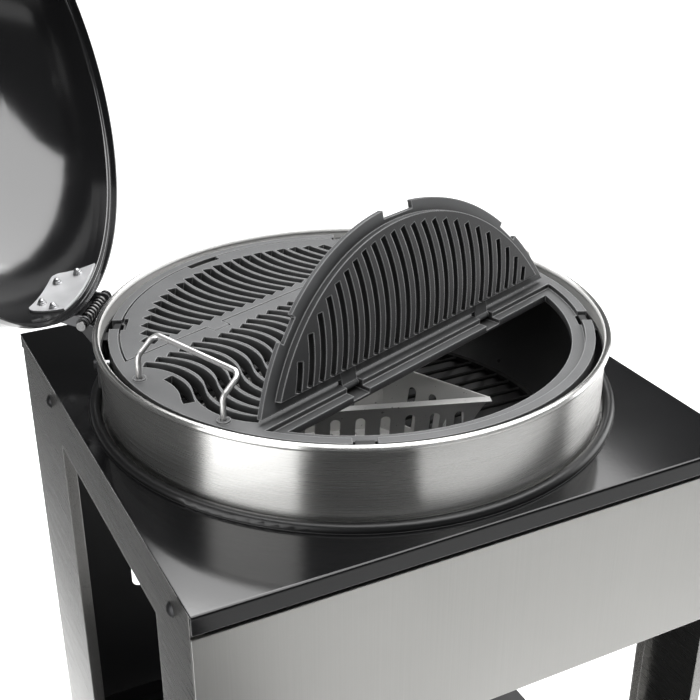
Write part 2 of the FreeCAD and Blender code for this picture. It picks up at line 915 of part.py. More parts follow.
def rear_wing():
    flange = d_plan(wing_radius, wing_edge, wing_under, grate_top)
    body = d_plan(wing_body_radius, wing_body_edge, grate_under, grate_top)
    wing = flange.fuse(body)
    for t in (-lug_place, lug_place):
        lug = box(
            t - lug_width / 2, t + lug_width / 2, pivot_n, wing_body_edge + cut_past,
            pivot_z - barrel_radius / 2, grate_top,
        )
        wing = wing.fuse(lug).fuse(pivot_rod(barrel_radius, t, lug_width / 2))
    cuts = [pivot_rod(wing_pin_radius + pin_clearance, t, lug_width) for t in (-lug_place, lug_place)]
    cuts.append(box(
        -finger_notch / 2, finger_notch / 2, wing_radius - finger_notch_depth, wing_radius + cut_past,
        grate_under, grate_top,
    ))
    side_notch = box(
        grate_radius - notch_depth - wing_notch_reach, grate_radius, -wing_notch / 2, wing_notch / 2,
        grate_under, grate_top,
    )
    cuts += [turn_z(side_notch, 45), turn_z(side_notch, 135)]
    count = int(wing_body_radius / slot_pitch)
    slots = [wing_slot(i * slot_pitch) for i in range(-count, count + 1)]
    cuts += [slot for slot in slots if slot]
    for tool in cuts:
        wing = wing.cut(tool)
    return wing


closed_wing = rear_wing()
front_wing = turn_z(closed_wing, 180)
front_wing.rotate(V(0, -pivot_n, pivot_z), ALONG_X, -wing_open)
export("rear_flap", turn_z(closed_wing, grate_turn))
export("front_flap", turn_z(front_wing, grate_turn))

# Hinge pins of the wings: short rods across the pockets of the grate frame
pin_half = lug_pocket / 2 + wing_pin_reach - seat_gap
wing_pins = Part.makeCompound([pivot_rod(wing_pin_radius, t, pin_half) for t in (-lug_place, lug_place)])
export("rear_hinge_pins", turn_z(wing_pins, grate_turn))
export("front_hinge_pins", turn_z(wing_pins, grate_turn + 180))


# Lifting handles: bright wire loops whose feet turn in under the casting
def grate_handle(side):
    foot_z = grate_under - seat_gap - handle_wire
    leg_t = side * handle_place
    grip_t = side * (handle_place - handle_lean)
    leg_top = grate_top + handle_leg
    grip_z = leg_top + handle_rise
    n = handle_half
    return bent_wire([
        V(leg_t, handle_foot - n, foot_z), V(leg_t, -n, foot_z), V(leg_t, -n, leg_top), V(grip_t, -n, grip_z),
        V(grip_t, n, grip_z), V(leg_t, n, leg_top), V(leg_t, n, foot_z), V(leg_t, n - handle_foot, foot_z),
    ], handle_wire, handle_bend)


export("left_grate_handle", turn_z(grate_handle(-1), grate_turn))
export("right_grate_handle", turn_z(grate_handle(1), grate_turn))

# Grate brackets: bent tabs on the bowl's wall, each with a shelf and a lug in a notch of the grate
plate_out = bowl_inside.radius - seat_gap
plate_in = plate_out - bracket_sheet
shelf_top = grate_under - seat_gap
shelf_under = shelf_top - bracket_sheet
lug_out = grate_radius - (notch_depth - bracket_lug_depth) / 2
lug_in = lug_out - bracket_lug_depth
bracket_profile = half_section([
    (plate_in, shelf_under - bracket_leg), (plate_out, shelf_under - bracket_leg), (plate_out, shelf_top),
    (lug_out, shelf_top), (lug_out, shelf_top + bracket_lug_height), (lug_in, shelf_top + bracket_lug_height),
    (lug_in, shelf_top), (plate_out - bracket_reach, shelf_top), (plate_out - bracket_reach, shelf_under),
    (plate_in, shelf_under),
])
bracket_angle = math.degrees(bracket_width / plate_out)
bracket = turned(bracket_profile, bracket_angle, -bracket_angle / 2)
export("grate_brackets", [turn_z(bracket, turn) for turn in bracket_turns])


# Charcoal grate: parallel rods welded in a ring that lies on the bowl's shoulder
def charcoal_grate():
    under = coal_grate_z - coal_ring_height / 2
    drop = bowl_inside.shoulder_z - under
    ring_out = bowl_inside.shoulder_r + math.sqrt((bowl_inside.shoulder - seat_gap) ** 2 - drop ** 2)
    ring_in = ring_out - coal_ring_width
    grate = ring(ring_in, ring_out, under, under + coal_ring_height)
    middle = (ring_in + ring_out) / 2
    count = int(middle / coal_rod_pitch)
    rods = []
    for i in range(-count, count + 1):
        y = i * coal_rod_pitch
        half = math.sqrt(middle ** 2 - y ** 2)
        rods.append(rod(coal_rod, V(-half, y, coal_grate_z), V(half, y, coal_grate_z)))
    return grate.fuse(rods)


export("charcoal_grate", charcoal_grate())


# Charcoal basket: half an octagon of slotted sheet, flared upwards, with a folded lip on its long wall
def basket_plan(grow, z):
    mitre = math.tan(math.radians(22.5))
    half = basket_length / 2 + grow / mitre
    short = basket_facet / 2 + grow * mitre
    depth = (basket_length - basket_facet) / 2
    corners = [V(-half, -grow, z), V(half, -grow, z), V(short, depth + grow, z), V(-short, depth + grow, z)]
    return Part.makePolygon(corners + corners[:1])


def basket_block(grow, z0, z1, flare):
    spread = flare * (z1 - z0)
    return Part.makeLoft([basket_plan(grow - spread, z0), basket_plan(grow, z1)], True, True)


def wall_slot(width, height):
    """A round-topped slot, deep enough to pass through the leaning wall at its foot and head."""
    reach = 0.75 * basket_height
    shoulder = height - width / 2
    slot = box(-width / 2, width / 2, -reach, reach / 2, 0, shoulder)
    return slot.fuse(rod(width / 2, V(0, -reach, shoulder), V(0, reach / 2, shoulder)))


def charcoal_basket():
    flare = math.tan(math.radians(basket_flare))
    z0 = coal_grate_z + coal_rod + seat_gap
    z1 = z0 + basket_height
    floor = z0 + basket_sheet
    outer = basket_block(0, z0, z1, flare)
    span = basket_length
    floor_block = box(-span, span, -span, span, z0 - cut_past, floor)
    inner = basket_block(-basket_sheet, z0, z1, flare).cut(floor_block)
    basket = outer.cut(inner)
    lip_half = basket_length / 2
    basket = basket.fuse(box(-lip_half, lip_half, -basket_lip, basket_sheet, z1 - basket_sheet, z1))
    slot = wall_slot(basket_slot, basket_slot_height)
    slot.translate(V(0, 0, z0 + basket_slot_floor))
    count = int((basket_length / 2 - basket_slot_pitch) / basket_slot_pitch)
    cuts = []
    for i in range(-count, count + 1):
        cut = slot.copy()
        cut.translate(V(i * basket_slot_pitch, 0, 0))
        cuts.append(cut)
    depth = (basket_length - basket_facet) / 2
    middle_r = (basket_length + basket_facet) / 4
    for facet_turn, x, y in ((135, middle_r, depth / 2), (180, 0, depth), (225, -middle_r, depth / 2)):
        for i in (-1, 0, 1):
            cut = slot.copy()
            cut.translate(V(i * basket_slot_pitch, 0, 0))
            cut.rotate(ORIGIN, UP, facet_turn)
            cut.translate(V(x, y, 0))
            cuts.append(cut)
    for i in range(-basket_floor_slots, basket_floor_slots + 1):
        middle = i * basket_slot_pitch
        cuts.append(box(
            middle - basket_slot / 2, middle + basket_slot / 2, depth / 4, 3 * depth / 4,
            z0 - cut_past, floor + cut_past,
        ))
    for tool in cuts:
        basket = basket.cut(tool)
    basket.rotate(ORIGIN, UP, basket_turn)
    basket.translate(V(basket_x, basket_y, 0))
    return basket


export("charcoal_basket", charcoal_basket())

# Ash sweeper: three blades that follow the bowl's floor, on a shaft through it
bowl_floor = bowl_inside.crown_height(0)
collar_bottom = bowl.crown_height(0) - collar_drop
shaft_bottom = bowl.crown_height(0) - shaft_drop


def ash_sweeper():
    low = bowl_inside.offset(-blade_gap)
    high = bowl_inside.offset(-blade_gap - blade_thickness)
    near = sweeper_hub / 2
    middle = (near + blade_reach) / 2
    profile = Part.Face(Part.Wire([
        arc(low.crown_point(near), low.crown_point(middle), low.crown_point(blade_reach)),
        line(low.crown_point(blade_reach), high.crown_point(blade_reach)),
        arc(high.crown_point(blade_reach), high.crown_point(middle), high.crown_point(near)),
        line(high.crown_point(near), low.crown_point(near)),
    ]))
    blade = turned(profile, blade_angle, -blade_angle / 2)
    hub_z = bowl_floor + blade_gap
    hub = Part.makeCylinder(sweeper_hub, sweeper_hub_height, V(0, 0, hub_z))
    shaft = rod(shaft_radius, V(0, 0, shaft_bottom), V(0, 0, hub_z + sweeper_hub_height / 2))
    return hub.fuse(shaft).fuse(around(blade, blade_count, 60))


export("ash_sweeper", ash_sweeper())

# Sweeper lever: a flat bar on the foot of the shaft, out through the collar, with a turned grip
lever_z = shaft_bottom + lever_lift
lever = box(0, lever_length, -lever_width / 2, lever_width / 2, lever_z, lever_z + lever_thickness)
lever = lever.fuse(Part.makeCylinder(lever_boss, lever_thickness, V(0, 0, lever_z)))
lever = lever.cut(Part.makeCylinder(shaft_radius + press_gap, lever_thickness, V(0, 0, lever_z)))
export("sweeper_lever", turn_z(lever, lever_angle))
grip_z = lever_z + lever_thickness / 2
grip_start = V(lever_length - grip_length / 2, 0, grip_z)
grip = rod(grip_radius, grip_start, grip_start + ALONG_X * grip_length)
grip = grip.makeFillet(grip_radius / 2, [e for e in grip.Edges if e.Closed and e.BoundBox.XLength < 1])
grip_slot = box(
    0, lever_length + press_gap, -lever_width / 2 - press_gap, lever_width / 2 + press_gap,
    lever_z - press_gap, lever_z + lever_thickness + press_gap,
)
export("sweeper_grip", turn_z(grip.cut(grip_slot), lever_angle))


# Ash collar: a short sleeve under the bowl, slotted for the lever
def ash_collar():
    top = bowl.crown_height(collar_radius - collar_wall) - seat_gap
    sleeve = ring(collar_radius - collar_wall, collar_radius, collar_bottom, top)
    reach = math.degrees(lever_width / collar_radius) + sweep_range
    near = collar_radius - hole_past
    far = collar_radius + hole_past
    low = lever_z - lever_room
    high = lever_z + lever_thickness + lever_room
    slot_face = half_section([(near, low), (far, low), (far, high), (near, high)])
    return sleeve.cut(turned(slot_face, 2 * reach, lever_angle - reach))


export("ash_collar", ash_collar())

# Ash can: a tapered bucket that laps the collar, with a wire handle on its front
can_top = collar_bottom + can_lap
can_floor = can_top - can_depth
can_outer = collar_radius + seat_gap + can_wall
can_low = can_outer - can_taper
export("ash_can", turned(half_section([
    (0, can_floor), (can_low, can_floor), (can_outer, collar_bottom), (can_outer, can_top),
    (can_outer - can_wall, can_top), (can_outer - can_wall, collar_bottom),
    (can_low - can_wall, can_floor + can_wall), (0, can_floor + can_wall),
])))


def ash_can_handle():
    high = collar_bottom - can_handle_wire
    low = high - can_handle_height
    slope = can_taper / (can_depth - can_lap)
    high_r = can_outer - slope * (collar_bottom - high)
    low_r = can_outer - slope * (collar_bottom - low)
    out = can_outer + can_handle_reach
    inside = can_outer - 2 * can_taper
    wire = bent_wire(
        [V(inside, 0, high), V(out, 0, high), V(out, 0, low), V(inside, 0, low)], can_handle_wire, handle_bend
    )
    cone = turned(half_section([
        (0, can_floor), (can_low + seat_gap, can_floor), (can_outer + seat_gap, collar_bottom),
        (0, collar_bottom),
    ]))
    return max(wire.cut(cone).Solids, key=lambda solid: solid.BoundBox.XMax)


export("ash_can_handle", turn_z(ash_can_handle(), can_handle_angle))


# Hinge base: a curved plate on the band with two ears that carry the hinge pin
def on_pin(radius, start, end):
    """A rod on the hinge pin's axis."""
    return rod(radius, V(pin_place, start, pin_z), V(pin_place, end, pin_z))


def plate_ear(outline, place, hole):
    ears = []
    for y in (-place, place):
        face = y - ear_sheet / 2
        blank = Part.Face(Part.makePolygon([V(r, face, z) for r, z in outline + outline[:1]]))
        ear = blank.extrude(V(0, ear_sheet, 0))
        eye = on_pin(ear_radius, face, face + ear_sheet)
        ears.append(ear.fuse(eye).cut(on_pin(hole, y - hole_past, y + hole_past)))
    return ears


def hinge_base():
    inner = band_radius + seat_gap
    outer = inner + base_sheet
    top = base_bottom + base_height
    plate = turned(half_section([
        (inner, base_bottom), (outer, base_bottom), (outer, top), (inner, top)
    ]), 2 * base_half_angle, -base_half_angle)
    root = math.sqrt(outer ** 2 - base_ear_place ** 2) - base_sheet / 2
    outline = [
        (root, base_bottom + base_height / 4), (pin_place + ear_radius, pin_z),
        (pin_place, pin_z + ear_radius), (pin_place - ear_radius, pin_z), (root, top),
    ]
    base = plate.fuse(plate_ear(outline, base_ear_place, pin_radius + pin_clearance))
    holes = [
        radial_rod(base_bolt_radius + pin_clearance, turn, base_bolt_z, band_radius, band_radius + hole_past)
        for turn in (-base_bolt_angle, base_bolt_angle)
    ]
    return base.cut(Part.makeCompound(holes))


def in_hinge_axes(shape):
    return turn_z(shape, hinge_turn)


export("hinge_base", in_hinge_axes(hinge_base()))

# Bolts through the hinge base, band and bowl, with cap nuts inside the bowl
bolt_seat = band_radius + seat_gap + base_sheet
nut_seat = bowl_inside.radius - seat_gap
base_bolts = []
base_nuts = []
for turn in base_bolt_turns:
    head = radial_rod(base_bolt_head, turn, base_bolt_z, bolt_seat, bolt_seat + base_bolt_head_height)
    shank = radial_rod(base_bolt_radius, turn, base_bolt_z, nut_seat - nut_height, bolt_seat)
    base_bolts.append(head.fuse(shank))
    nut = radial_rod(nut_radius, turn, base_bolt_z, nut_seat - nut_height - nut_cap, nut_seat)
    hole = radial_rod(
        base_bolt_radius + press_gap, turn, base_bolt_z, nut_seat - nut_height - press_gap, nut_seat
    )
    base_nuts.append(nut.cut(hole))
export("hinge_base_bolts", base_bolts)
export("hinge_base_nuts", base_nuts)

# Hinge pin: a long bolt through all four ears, with a nut on its far end
pin_end = base_ear_place + ear_sheet / 2 + press_gap
pin_tip = pin_end + nut_height
pin_head = on_pin(pin_head_radius, -pin_end - pin_head_length, -pin_end)
head_mid = -pin_end - pin_head_length / 2
pin_head = pin_head.makeFillet(
    pin_head_radius / 2, [e for e in pin_head.Edges if e.Closed and e.CenterOfMass.y < head_mid]
)
pin = on_pin(pin_radius, -pin_end, pin_tip).fuse(pin_head)
export("hinge_pin", in_hinge_axes(pin))
pin_nut = on_pin(nut_radius, pin_end, pin_tip)
pin_nut = pin_nut.cut(on_pin(pin_radius + press_gap, pin_end - cut_past, pin_tip + cut_past))
export("hinge_pin_nut", in_hinge_axes(pin_nut))


# Hinge spring: one wire wound on the pin between the lid's ears
def coil_point(angle):
    y = spring_pitch * (angle / (2 * math.pi) - spring_turns / 2)
    return V(pin_place + spring_radius * math.cos(angle), y, pin_z + spring_radius * math.sin(angle))


def coil_tangent(angle):
    rise = spring_pitch / (2 * math.pi)
    way = V(-spring_radius * math.sin(angle), rise, spring_radius * math.cos(angle))
    return way.normalize()


def tangent_arc(start, way, end):
    """The arc that leaves start along way and reaches end."""
    chord = end - start
    along = V(chord).normalize()
    half = way.getAngle(along) / 2
    side = (way - along * way.dot(along)).normalize()
    return arc(start, (start + end) * 0.5 + side * (chord.Length / 2 * math.tan(half)), end)


def quarter_turn(angle0, angle1):
    """A pair of tangent arcs along one quarter turn of the helix."""
    p0, p1 = coil_point(angle0), coil_point(angle1)
    t0, t1 = coil_tangent(angle0), coil_tangent(angle1)
    across = p1 - p0
    a = 2 * (t0.dot(t1) - 1)
    b = -2 * across.dot(t0 + t1)
    c = across.dot(across)
    d = (-b - math.sqrt(b * b - 4 * a * c)) / (2 * a)
    joint = (p0 + t0 * d + p1 - t1 * d) * 0.5
    return [tangent_arc(p0, t0, joint), tangent_arc(p1, t1 * -1, joint)]


def hinge_spring():
    start = -math.pi / 2
    quarter = math.pi / 2
    stub = 2 * spring_wire
    end = start + 4 * spring_turns * quarter
    wire_end = coil_point(start) - coil_tangent(start) * stub
    edges = [line(wire_end, coil_point(start))]
    for i in range(4 * spring_turns):
        edges += quarter_turn(start + i * quarter, start + (i + 1) * quarter)
    edges.append(line(coil_point(end), coil_point(end) + coil_tangent(end) * stub))
    path = Part.Wire(Part.__sortEdges__(edges))
    section = Part.Wire(Part.makeCircle(spring_wire, wire_end, coil_tangent(start)))
    return path.makePipeShell([section], True, False)


next_turn = [coil_point(math.pi + 0.1 * i) for i in range(60)]
next_gap = min((p - coil_point(0)).Length for p in next_turn) - 2 * spring_wire
print("spring's least gap to itself:", round(next_gap, 2))
export("hinge_spring", in_hinge_axes(hinge_spring()))

# Lid: the curve of its wall when shut, and the turn that opens it
lid_flange_z = rim_top + lid_seat
lid = KettleCurve(lid_radius, lid_flange_z + lid_wall, lid_straight, lid_shoulder, lid_turn, 1)
lid_inside = lid.offset(-lid_wall)


def on_open_lid(shape):
    opened = shape.copy()
    opened.rotate(V(pin_place, 0, pin_z), ALONG_Y, lid_open)
    return in_hinge_axes(opened)


def export_on_lid(node, solids):
    shape = solids if isinstance(solids, Part.Shape) else Part.makeCompound(solids)
    export(node, on_open_lid(shape))


# Places on the lid: hinge screws, handle posts, thermometer and vents
def normal_rod(radius, arc_deg, turn, inward, outward):
    """A rod square to the lid's shoulder, arc_deg up it, from inward under its face to outward above it."""
    angle = math.radians(arc_deg)
    foot = lid.shoulder_point(arc_deg)
    way = V(math.cos(angle), 0, math.sin(angle))
    return turn_z(rod(radius, foot - way * inward, foot + way * outward), turn)


screw_spots = [
    (row, hinge_plate_turn + side * spread) for row, spread in screw_rows for side in (-1, 1)
]
lid_bracket_out = seat_gap + lid_bracket_sheet
inner_plate_in = lid_wall + seat_gap + lid_bracket_sheet
vent_low = lid.crown_height(lid_vent_place + lid_vent_radius) - hole_past
vent_hole = Part.makeCylinder(lid_vent_radius, 3 * hole_past, V(lid_vent_place, 0, vent_low))
screw_holes = [
    normal_rod(screw_radius + pin_clearance, row, turn, hole_past, hole_past) for row, turn in screw_spots
]


# Lid shell: pressed and enamelled, with a stepped rim whose skirt hangs outside the rolled rim of the band
def lid_shell():
    skirt_in = skirt_radius - lid_wall
    skirt_low = lid_flange_z - skirt_drop
    inner_foot = V(lid_inside.radius, 0, lid_flange_z)
    hem = V((skirt_radius + skirt_in) / 2, 0, skirt_low - lid_wall / 2)
    outer_end = V(skirt_radius, 0, skirt_low)
    inner_end = V(skirt_in, 0, skirt_low)
    corner_out = inner_foot + ALONG_X * rim_corner
    corner_up = inner_foot + UP * rim_corner
    corner_mid = inner_foot + (ALONG_X + UP) * (rim_corner * (1 - math.sqrt(0.5)))
    outside = rounded_path([lid.rim(), V(skirt_radius, 0, lid.rim_z), outer_end], rim_bend)
    underside = rounded_path([inner_end, V(skirt_in, 0, lid_flange_z), corner_out], rim_bend - lid_wall)
    edges = outside.Edges + underside.Edges
    edges += [arc(outer_end, hem, inner_end), arc(corner_out, corner_mid, corner_up)]
    edges.append(line(corner_up, lid_inside.shoulder_point(0)))
    edges += lid.edges() + lid_inside.edges()[1:]
    edges.append(line(lid.crown_point(0), lid_inside.crown_point(0)))
    shell = turned(Part.Face(Part.Wire(Part.__sortEdges__(edges))))
    cuts = around(vent_hole, lid_vent_count)
    cuts.append(Part.makeCylinder(rivet_radius + pin_clearance, 3 * hole_past, V(0, 0, vent_low)))
    cuts += screw_holes
    cuts.append(normal_rod(gauge_stem_radius + pin_clearance, gauge_angle, 180, hole_past, hole_past))
    return shell.cut(Part.makeCompound(cuts))


export_on_lid("lid_shell", lid_shell())


def hinge_patch(near, far, half):
    """Sheet along the lid's wall at the hinge, narrower and rounded at its upper end."""
    sheet = wall_patch(lid, near, far, lid_bracket_top, math.degrees(1.2 * half / lid_radius))
    low = lid.rim_z + rim_room
    high = lid.shoulder_point(lid_bracket_top).z - rim_room
    top_half = half - hinge_plate_taper
    corners = [V(0, -half, low), V(0, half, low), V(0, top_half, high), V(0, -top_half, high)]
    prism = Part.Face(Part.makePolygon(corners + corners[:1])).extrude(V(2 * lid_radius, 0, 0))
    long_edges = [e for e in prism.Edges if e.BoundBox.XLength > lid_radius]
    top_edges = [e for e in long_edges if e.BoundBox.ZMin > high - cut_past]
    rounded = prism.makeFillet(hinge_plate_corner, top_edges)
    return turn_z(sheet.common(rounded), hinge_plate_turn)


# Lid bracket: a plate on the lid's outside, with ears that turn on the hinge pin
def lid_bracket():
    plate = hinge_patch(seat_gap, lid_bracket_out, lid_bracket_half)
    low = lid.rim_z + rim_room
    high = low + 2 * lid_straight
    root = math.sqrt((lid_radius + seat_gap) ** 2 - lid_ear_place ** 2) + rim_room
    clear_of_skirt = math.sqrt(skirt_radius ** 2 - lid_ear_place ** 2) + 1.5 * rim_room
    outline = [
        (root, low), (root, high), (root + lid_bracket_shoulder, high),
        (pin_place + ear_radius, pin_z + ear_sheet), (pin_place, pin_z - ear_radius / 2),
        (pin_place - ear_radius, pin_z), (clear_of_skirt, pin_z + ear_radius), (clear_of_skirt, low),
    ]
    bracket = plate.fuse(plate_ear(outline, lid_ear_place, pin_radius + pin_clearance))
    return bracket.cut(Part.makeCompound(screw_holes))


export_on_lid("lid_bracket", lid_bracket())

# Inner plate: bright sheet inside the lid that backs the bracket
inner_plate = hinge_patch(-inner_plate_in, -lid_wall - seat_gap, inner_plate_half)
export_on_lid("lid_inner_plate", inner_plate.cut(Part.makeCompound(screw_holes)))

# Screws through the bracket, the lid and the inner plate, with cap nuts inside
screws = []
screw_nuts = []
for row, turn in screw_spots:
    head_seat = lid_bracket_out + press_gap
    shank_end = inner_plate_in + nut_height
    shank = normal_rod(screw_radius, row, turn, shank_end, head_seat + screw_head_height / 2)
    head = normal_rod(screw_head_radius, row, turn, -head_seat, head_seat + screw_head_height)
    screws.append(shank.fuse(head))
    nut = normal_rod(screw_head_radius, row, turn, shank_end + nut_cap, -inner_plate_in - seat_gap)
    bore = normal_rod(screw_radius + press_gap, row, turn, shank_end + press_gap, 0)
    screw_nuts.append(nut.cut(bore))
export_on_lid("lid_hinge_screws", screws)
export_on_lid("lid_hinge_nuts", screw_nuts)

# Lid handle: a round bar on two posts, opposite the hinge
bar_foot = lid.shoulder_point(grip_bar_angle)
bar_x = -(bar_foot.x + grip_bar_stand)
bar_z = bar_foot.z
bar_start = V(bar_x, -grip_bar_length / 2, bar_z)
bar_end = V(bar_x, grip_bar_length / 2, bar_z)
bar = rod(grip_bar_radius, bar_start, bar_end)
bar = bar.makeFillet(grip_bar_radius / 2, [e for e in bar.Edges if e.Closed and e.BoundBox.YLength < 1])
export_on_lid("lid_handle_bar", bar)
lid_solid = lid.offset(seat_gap).filled()
bar_clear = rod(grip_bar_radius + press_gap, bar_start, bar_end)
posts = []
for y in (-post_place, post_place):
    post = rod(post_radius, V(bar_x, y, bar_z), V(-lid.shoulder_r, y, bar_z))
    posts.append(post.cut(lid_solid).cut(bar_clear))
export_on_lid("lid_handle_posts", posts)

# Thermometer: a round case square to the lid, a dial behind its bezel, and a stem into the lid
case_low = gauge_depth / 2
case = normal_rod(gauge_radius, gauge_angle, 180, 0, gauge_depth).cut(lid_solid)
case = case.cut(normal_rod(gauge_radius - gauge_bezel, gauge_angle, 180, -case_low, gauge_depth + cut_past))
case = case.cut(normal_rod(gauge_stem_radius + press_gap, gauge_angle, 180, hole_past, gauge_depth))
export_on_lid("thermometer_case", case)
dial = normal_rod(
    gauge_radius - gauge_bezel - press_gap, gauge_angle, 180, -case_low - press_gap, gauge_depth - gauge_bezel
)
export_on_lid("thermometer_dial", dial)
gauge_stem = normal_rod(gauge_stem_radius, gauge_angle, 180, gauge_stem_length, case_low)
export_on_lid("thermometer_stem", gauge_stem)

# Vent damper: a dished disc on the lid's crown, with holes that turn over the lid's vents
damper_low = lid.offset(damper_lift)
damper_high = lid.offset(damper_lift + damper_sheet)
bore_r = rivet_radius + pin_clearance
damper_places = (bore_r, damper_radius / 2, damper_radius)
low_points = [damper_low.crown_point(r) for r in damper_places]
high_points = [damper_high.crown_point(r) for r in damper_places]
damper_face = Part.Face(Part.Wire([
    arc(*low_points),
    line(low_points[-1], high_points[-1]),
    arc(*high_points[::-1]),
    line(high_points[0], low_points[0]),
]))
damper = turned(damper_face).cut(Part.makeCompound(around(vent_hole, lid_vent_count)))
export_on_lid("vent_damper", damper)

# Rivet through the crown, and the knob that stands over it on the damper
crown_top = lid.crown_height(0)
damper_top = damper_high.crown_height(0)
crown_under = lid_inside.crown_height(0)
rivet_low = crown_under - rivet_head_height
rivet_high = damper_top + rivet_head_height
rivet = half_section([
    (0, rivet_low), (rivet_head_radius, rivet_low), (rivet_head_radius, crown_under - seat_gap),
    (rivet_radius, crown_under - seat_gap), (rivet_radius, damper_top + seat_gap),
    (rivet_head_radius, damper_top + seat_gap), (rivet_head_radius, rivet_high), (0, rivet_high),
])
export_on_lid("vent_rivet", turned(rivet))
knob_low = damper_top + press_gap
knob_top = knob_low + knob_height
knob_inner = rivet_head_radius + knob_room
knob_neck = knob_radius - knob_wall / 2
knob_face = half_section([
    (knob_inner, knob_low), (knob_neck, knob_low), (knob_radius, knob_low + knob_height / 2),
    (knob_radius, knob_top - knob_wall / 2), (knob_neck, knob_top), (0, knob_top),
    (0, knob_top - knob_wall), (knob_inner, knob_top - knob_wall),
])
export_on_lid("damper_knob", turned(knob_face))

# Places of the joints, for reference
hinge_out = out_at(hinge_turn, pin_z, pin_place)
t_way = out_at(grate_turn, 0, 1)
n_way = out_at(grate_turn + 90, 0, 1)
lid_axis = in_hinge_axes(Part.Vertex(V(0, 1, 0))).Point
crown_start = on_open_lid(Part.Vertex(V(0, 0, crown_top))).Point
crown_end = on_open_lid(Part.Vertex(V(0, 0, crown_top + 1))).Point
print("lid hinge", hinge_out, "opening turns about", lid_axis)
print("wing hinge lines along", t_way, "through", n_way * pivot_n + UP * pivot_z, "and its opposite")
print("damper", crown_start, "along", crown_end - crown_start)
print("wheels", axle_y, axle_z, "floor", floor_z)
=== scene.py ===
import math

import bmesh
import bpy
from mathutils import Matrix, Quaternion, Vector


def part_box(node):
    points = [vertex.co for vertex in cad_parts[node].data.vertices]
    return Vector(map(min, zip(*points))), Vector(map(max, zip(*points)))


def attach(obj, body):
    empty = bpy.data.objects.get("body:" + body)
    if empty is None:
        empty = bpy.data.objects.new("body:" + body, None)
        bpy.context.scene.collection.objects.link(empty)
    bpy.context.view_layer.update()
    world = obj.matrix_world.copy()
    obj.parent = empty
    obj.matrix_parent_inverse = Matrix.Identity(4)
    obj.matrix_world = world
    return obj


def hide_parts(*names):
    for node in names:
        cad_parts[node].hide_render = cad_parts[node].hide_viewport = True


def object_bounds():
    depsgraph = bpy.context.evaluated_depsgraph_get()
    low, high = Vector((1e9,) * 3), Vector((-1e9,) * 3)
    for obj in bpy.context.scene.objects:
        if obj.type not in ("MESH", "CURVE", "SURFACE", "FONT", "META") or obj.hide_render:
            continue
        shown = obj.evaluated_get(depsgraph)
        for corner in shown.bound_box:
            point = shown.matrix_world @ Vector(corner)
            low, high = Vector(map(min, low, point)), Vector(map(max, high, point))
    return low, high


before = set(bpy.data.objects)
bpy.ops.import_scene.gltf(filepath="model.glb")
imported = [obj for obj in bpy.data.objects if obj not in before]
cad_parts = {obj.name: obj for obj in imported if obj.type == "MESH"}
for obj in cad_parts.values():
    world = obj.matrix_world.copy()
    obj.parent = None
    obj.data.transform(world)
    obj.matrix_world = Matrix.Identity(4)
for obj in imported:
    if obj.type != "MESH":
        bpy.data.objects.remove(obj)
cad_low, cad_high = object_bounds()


# Camera: stands before the cart's front left corner, a little higher than the kettle's rim, and looks
# down into the open kettle with a short telephoto lens.
camera_lens = 60.39
camera_pitch = 26.46
camera_yaw = 27.03
camera = bpy.data.objects.new("camera", bpy.data.cameras.new("camera"))
camera.data.lens = camera_lens
camera.location = (-0.5509, -1.0752, 0.6451)
camera.rotation_euler = (math.radians(90 - camera_pitch), 0, math.radians(-camera_yaw))
bpy.context.scene.collection.objects.link(camera)
bpy.context.scene.camera = camera


# Studio floor: pale seamless paper under the cart, lit from below, wide enough to fill the view behind it.
# Its finish is the first, so the helpers that the finishes and the meshes share start here.
class Wire:
    """One socket of a finish. Operators on wires add Math nodes, and node() adds any other node."""

    def __init__(self, tree, socket=None):
        self.tree = tree
        self.socket = socket

    def node(self, kind, settings=None, sockets=None, out=0):
        made = self.tree.nodes.new("ShaderNode" + kind)
        for name, value in (settings or {}).items():
            if name == "stops":
                while len(made.color_ramp.elements) < len(value):
                    made.color_ramp.elements.new(1.0)
                for stop, (position, colour) in zip(made.color_ramp.elements, value):
                    stop.position = position
                    stop.color = colour
            else:
                setattr(made, name, value)
        for name, value in (sockets or {}).items():
            if isinstance(value, Wire):
                self.tree.links.new(value.socket, made.inputs[name])
            else:
                made.inputs[name].default_value = value
        return Wire(self.tree, made.outputs[out])

    def math(self, operation, first, second):
        return self.node("Math", {"operation": operation}, {0: first, 1: second})

    def __add__(self, other):
        return self.math("ADD", self, other)

    def __sub__(self, other):
        return self.math("SUBTRACT", self, other)

    def __rsub__(self, other):
        return self.math("SUBTRACT", other, self)

    def __mul__(self, other):
        return self.math("MULTIPLY", self, other)

    def __lt__(self, other):
        return self.math("LESS_THAN", self, other)

    def __gt__(self, other):
        return self.math("GREATER_THAN", self, other)

    __radd__ = __add__
    __rmul__ = __mul__


def new_finish(name, fixed):
    """A material whose fixed sockets are set, its shader, and its Object coordinates in metres."""
    material = bpy.data.materials.new(name)
    material.use_nodes = True
    shader = material.node_tree.nodes["Principled BSDF"]
    for socket, value in fixed.items():
        shader.inputs[socket].default_value = value
    return material, shader, Wire(material.node_tree).node("TexCoord", out="Object")


def feed(shader, wires):
    """Links each wire to the socket of the shader that it is named for."""
    for socket, wire in wires.items():
        wire.tree.links.new(wire.socket, shader.inputs[socket])


def noise(place, scale, detail=2.0):
    """A cloudy pattern between 0 and 1, finer as its scale grows."""
    return place.node("TexNoise", sockets={"Vector": place, "Scale": scale, "Detail": detail})


def blend_colours(mask, first, second):
    """Colour that goes from first to second, colours or wires, as the mask goes from 0 to 1."""
    first, second = (end if isinstance(end, Wire) else (*end, 1) for end in (first, second))
    sockets = {0: mask, 6: first, 7: second}
    return mask.node("Mix", {"data_type": "RGBA", "clamp_factor": True}, sockets, out=2)


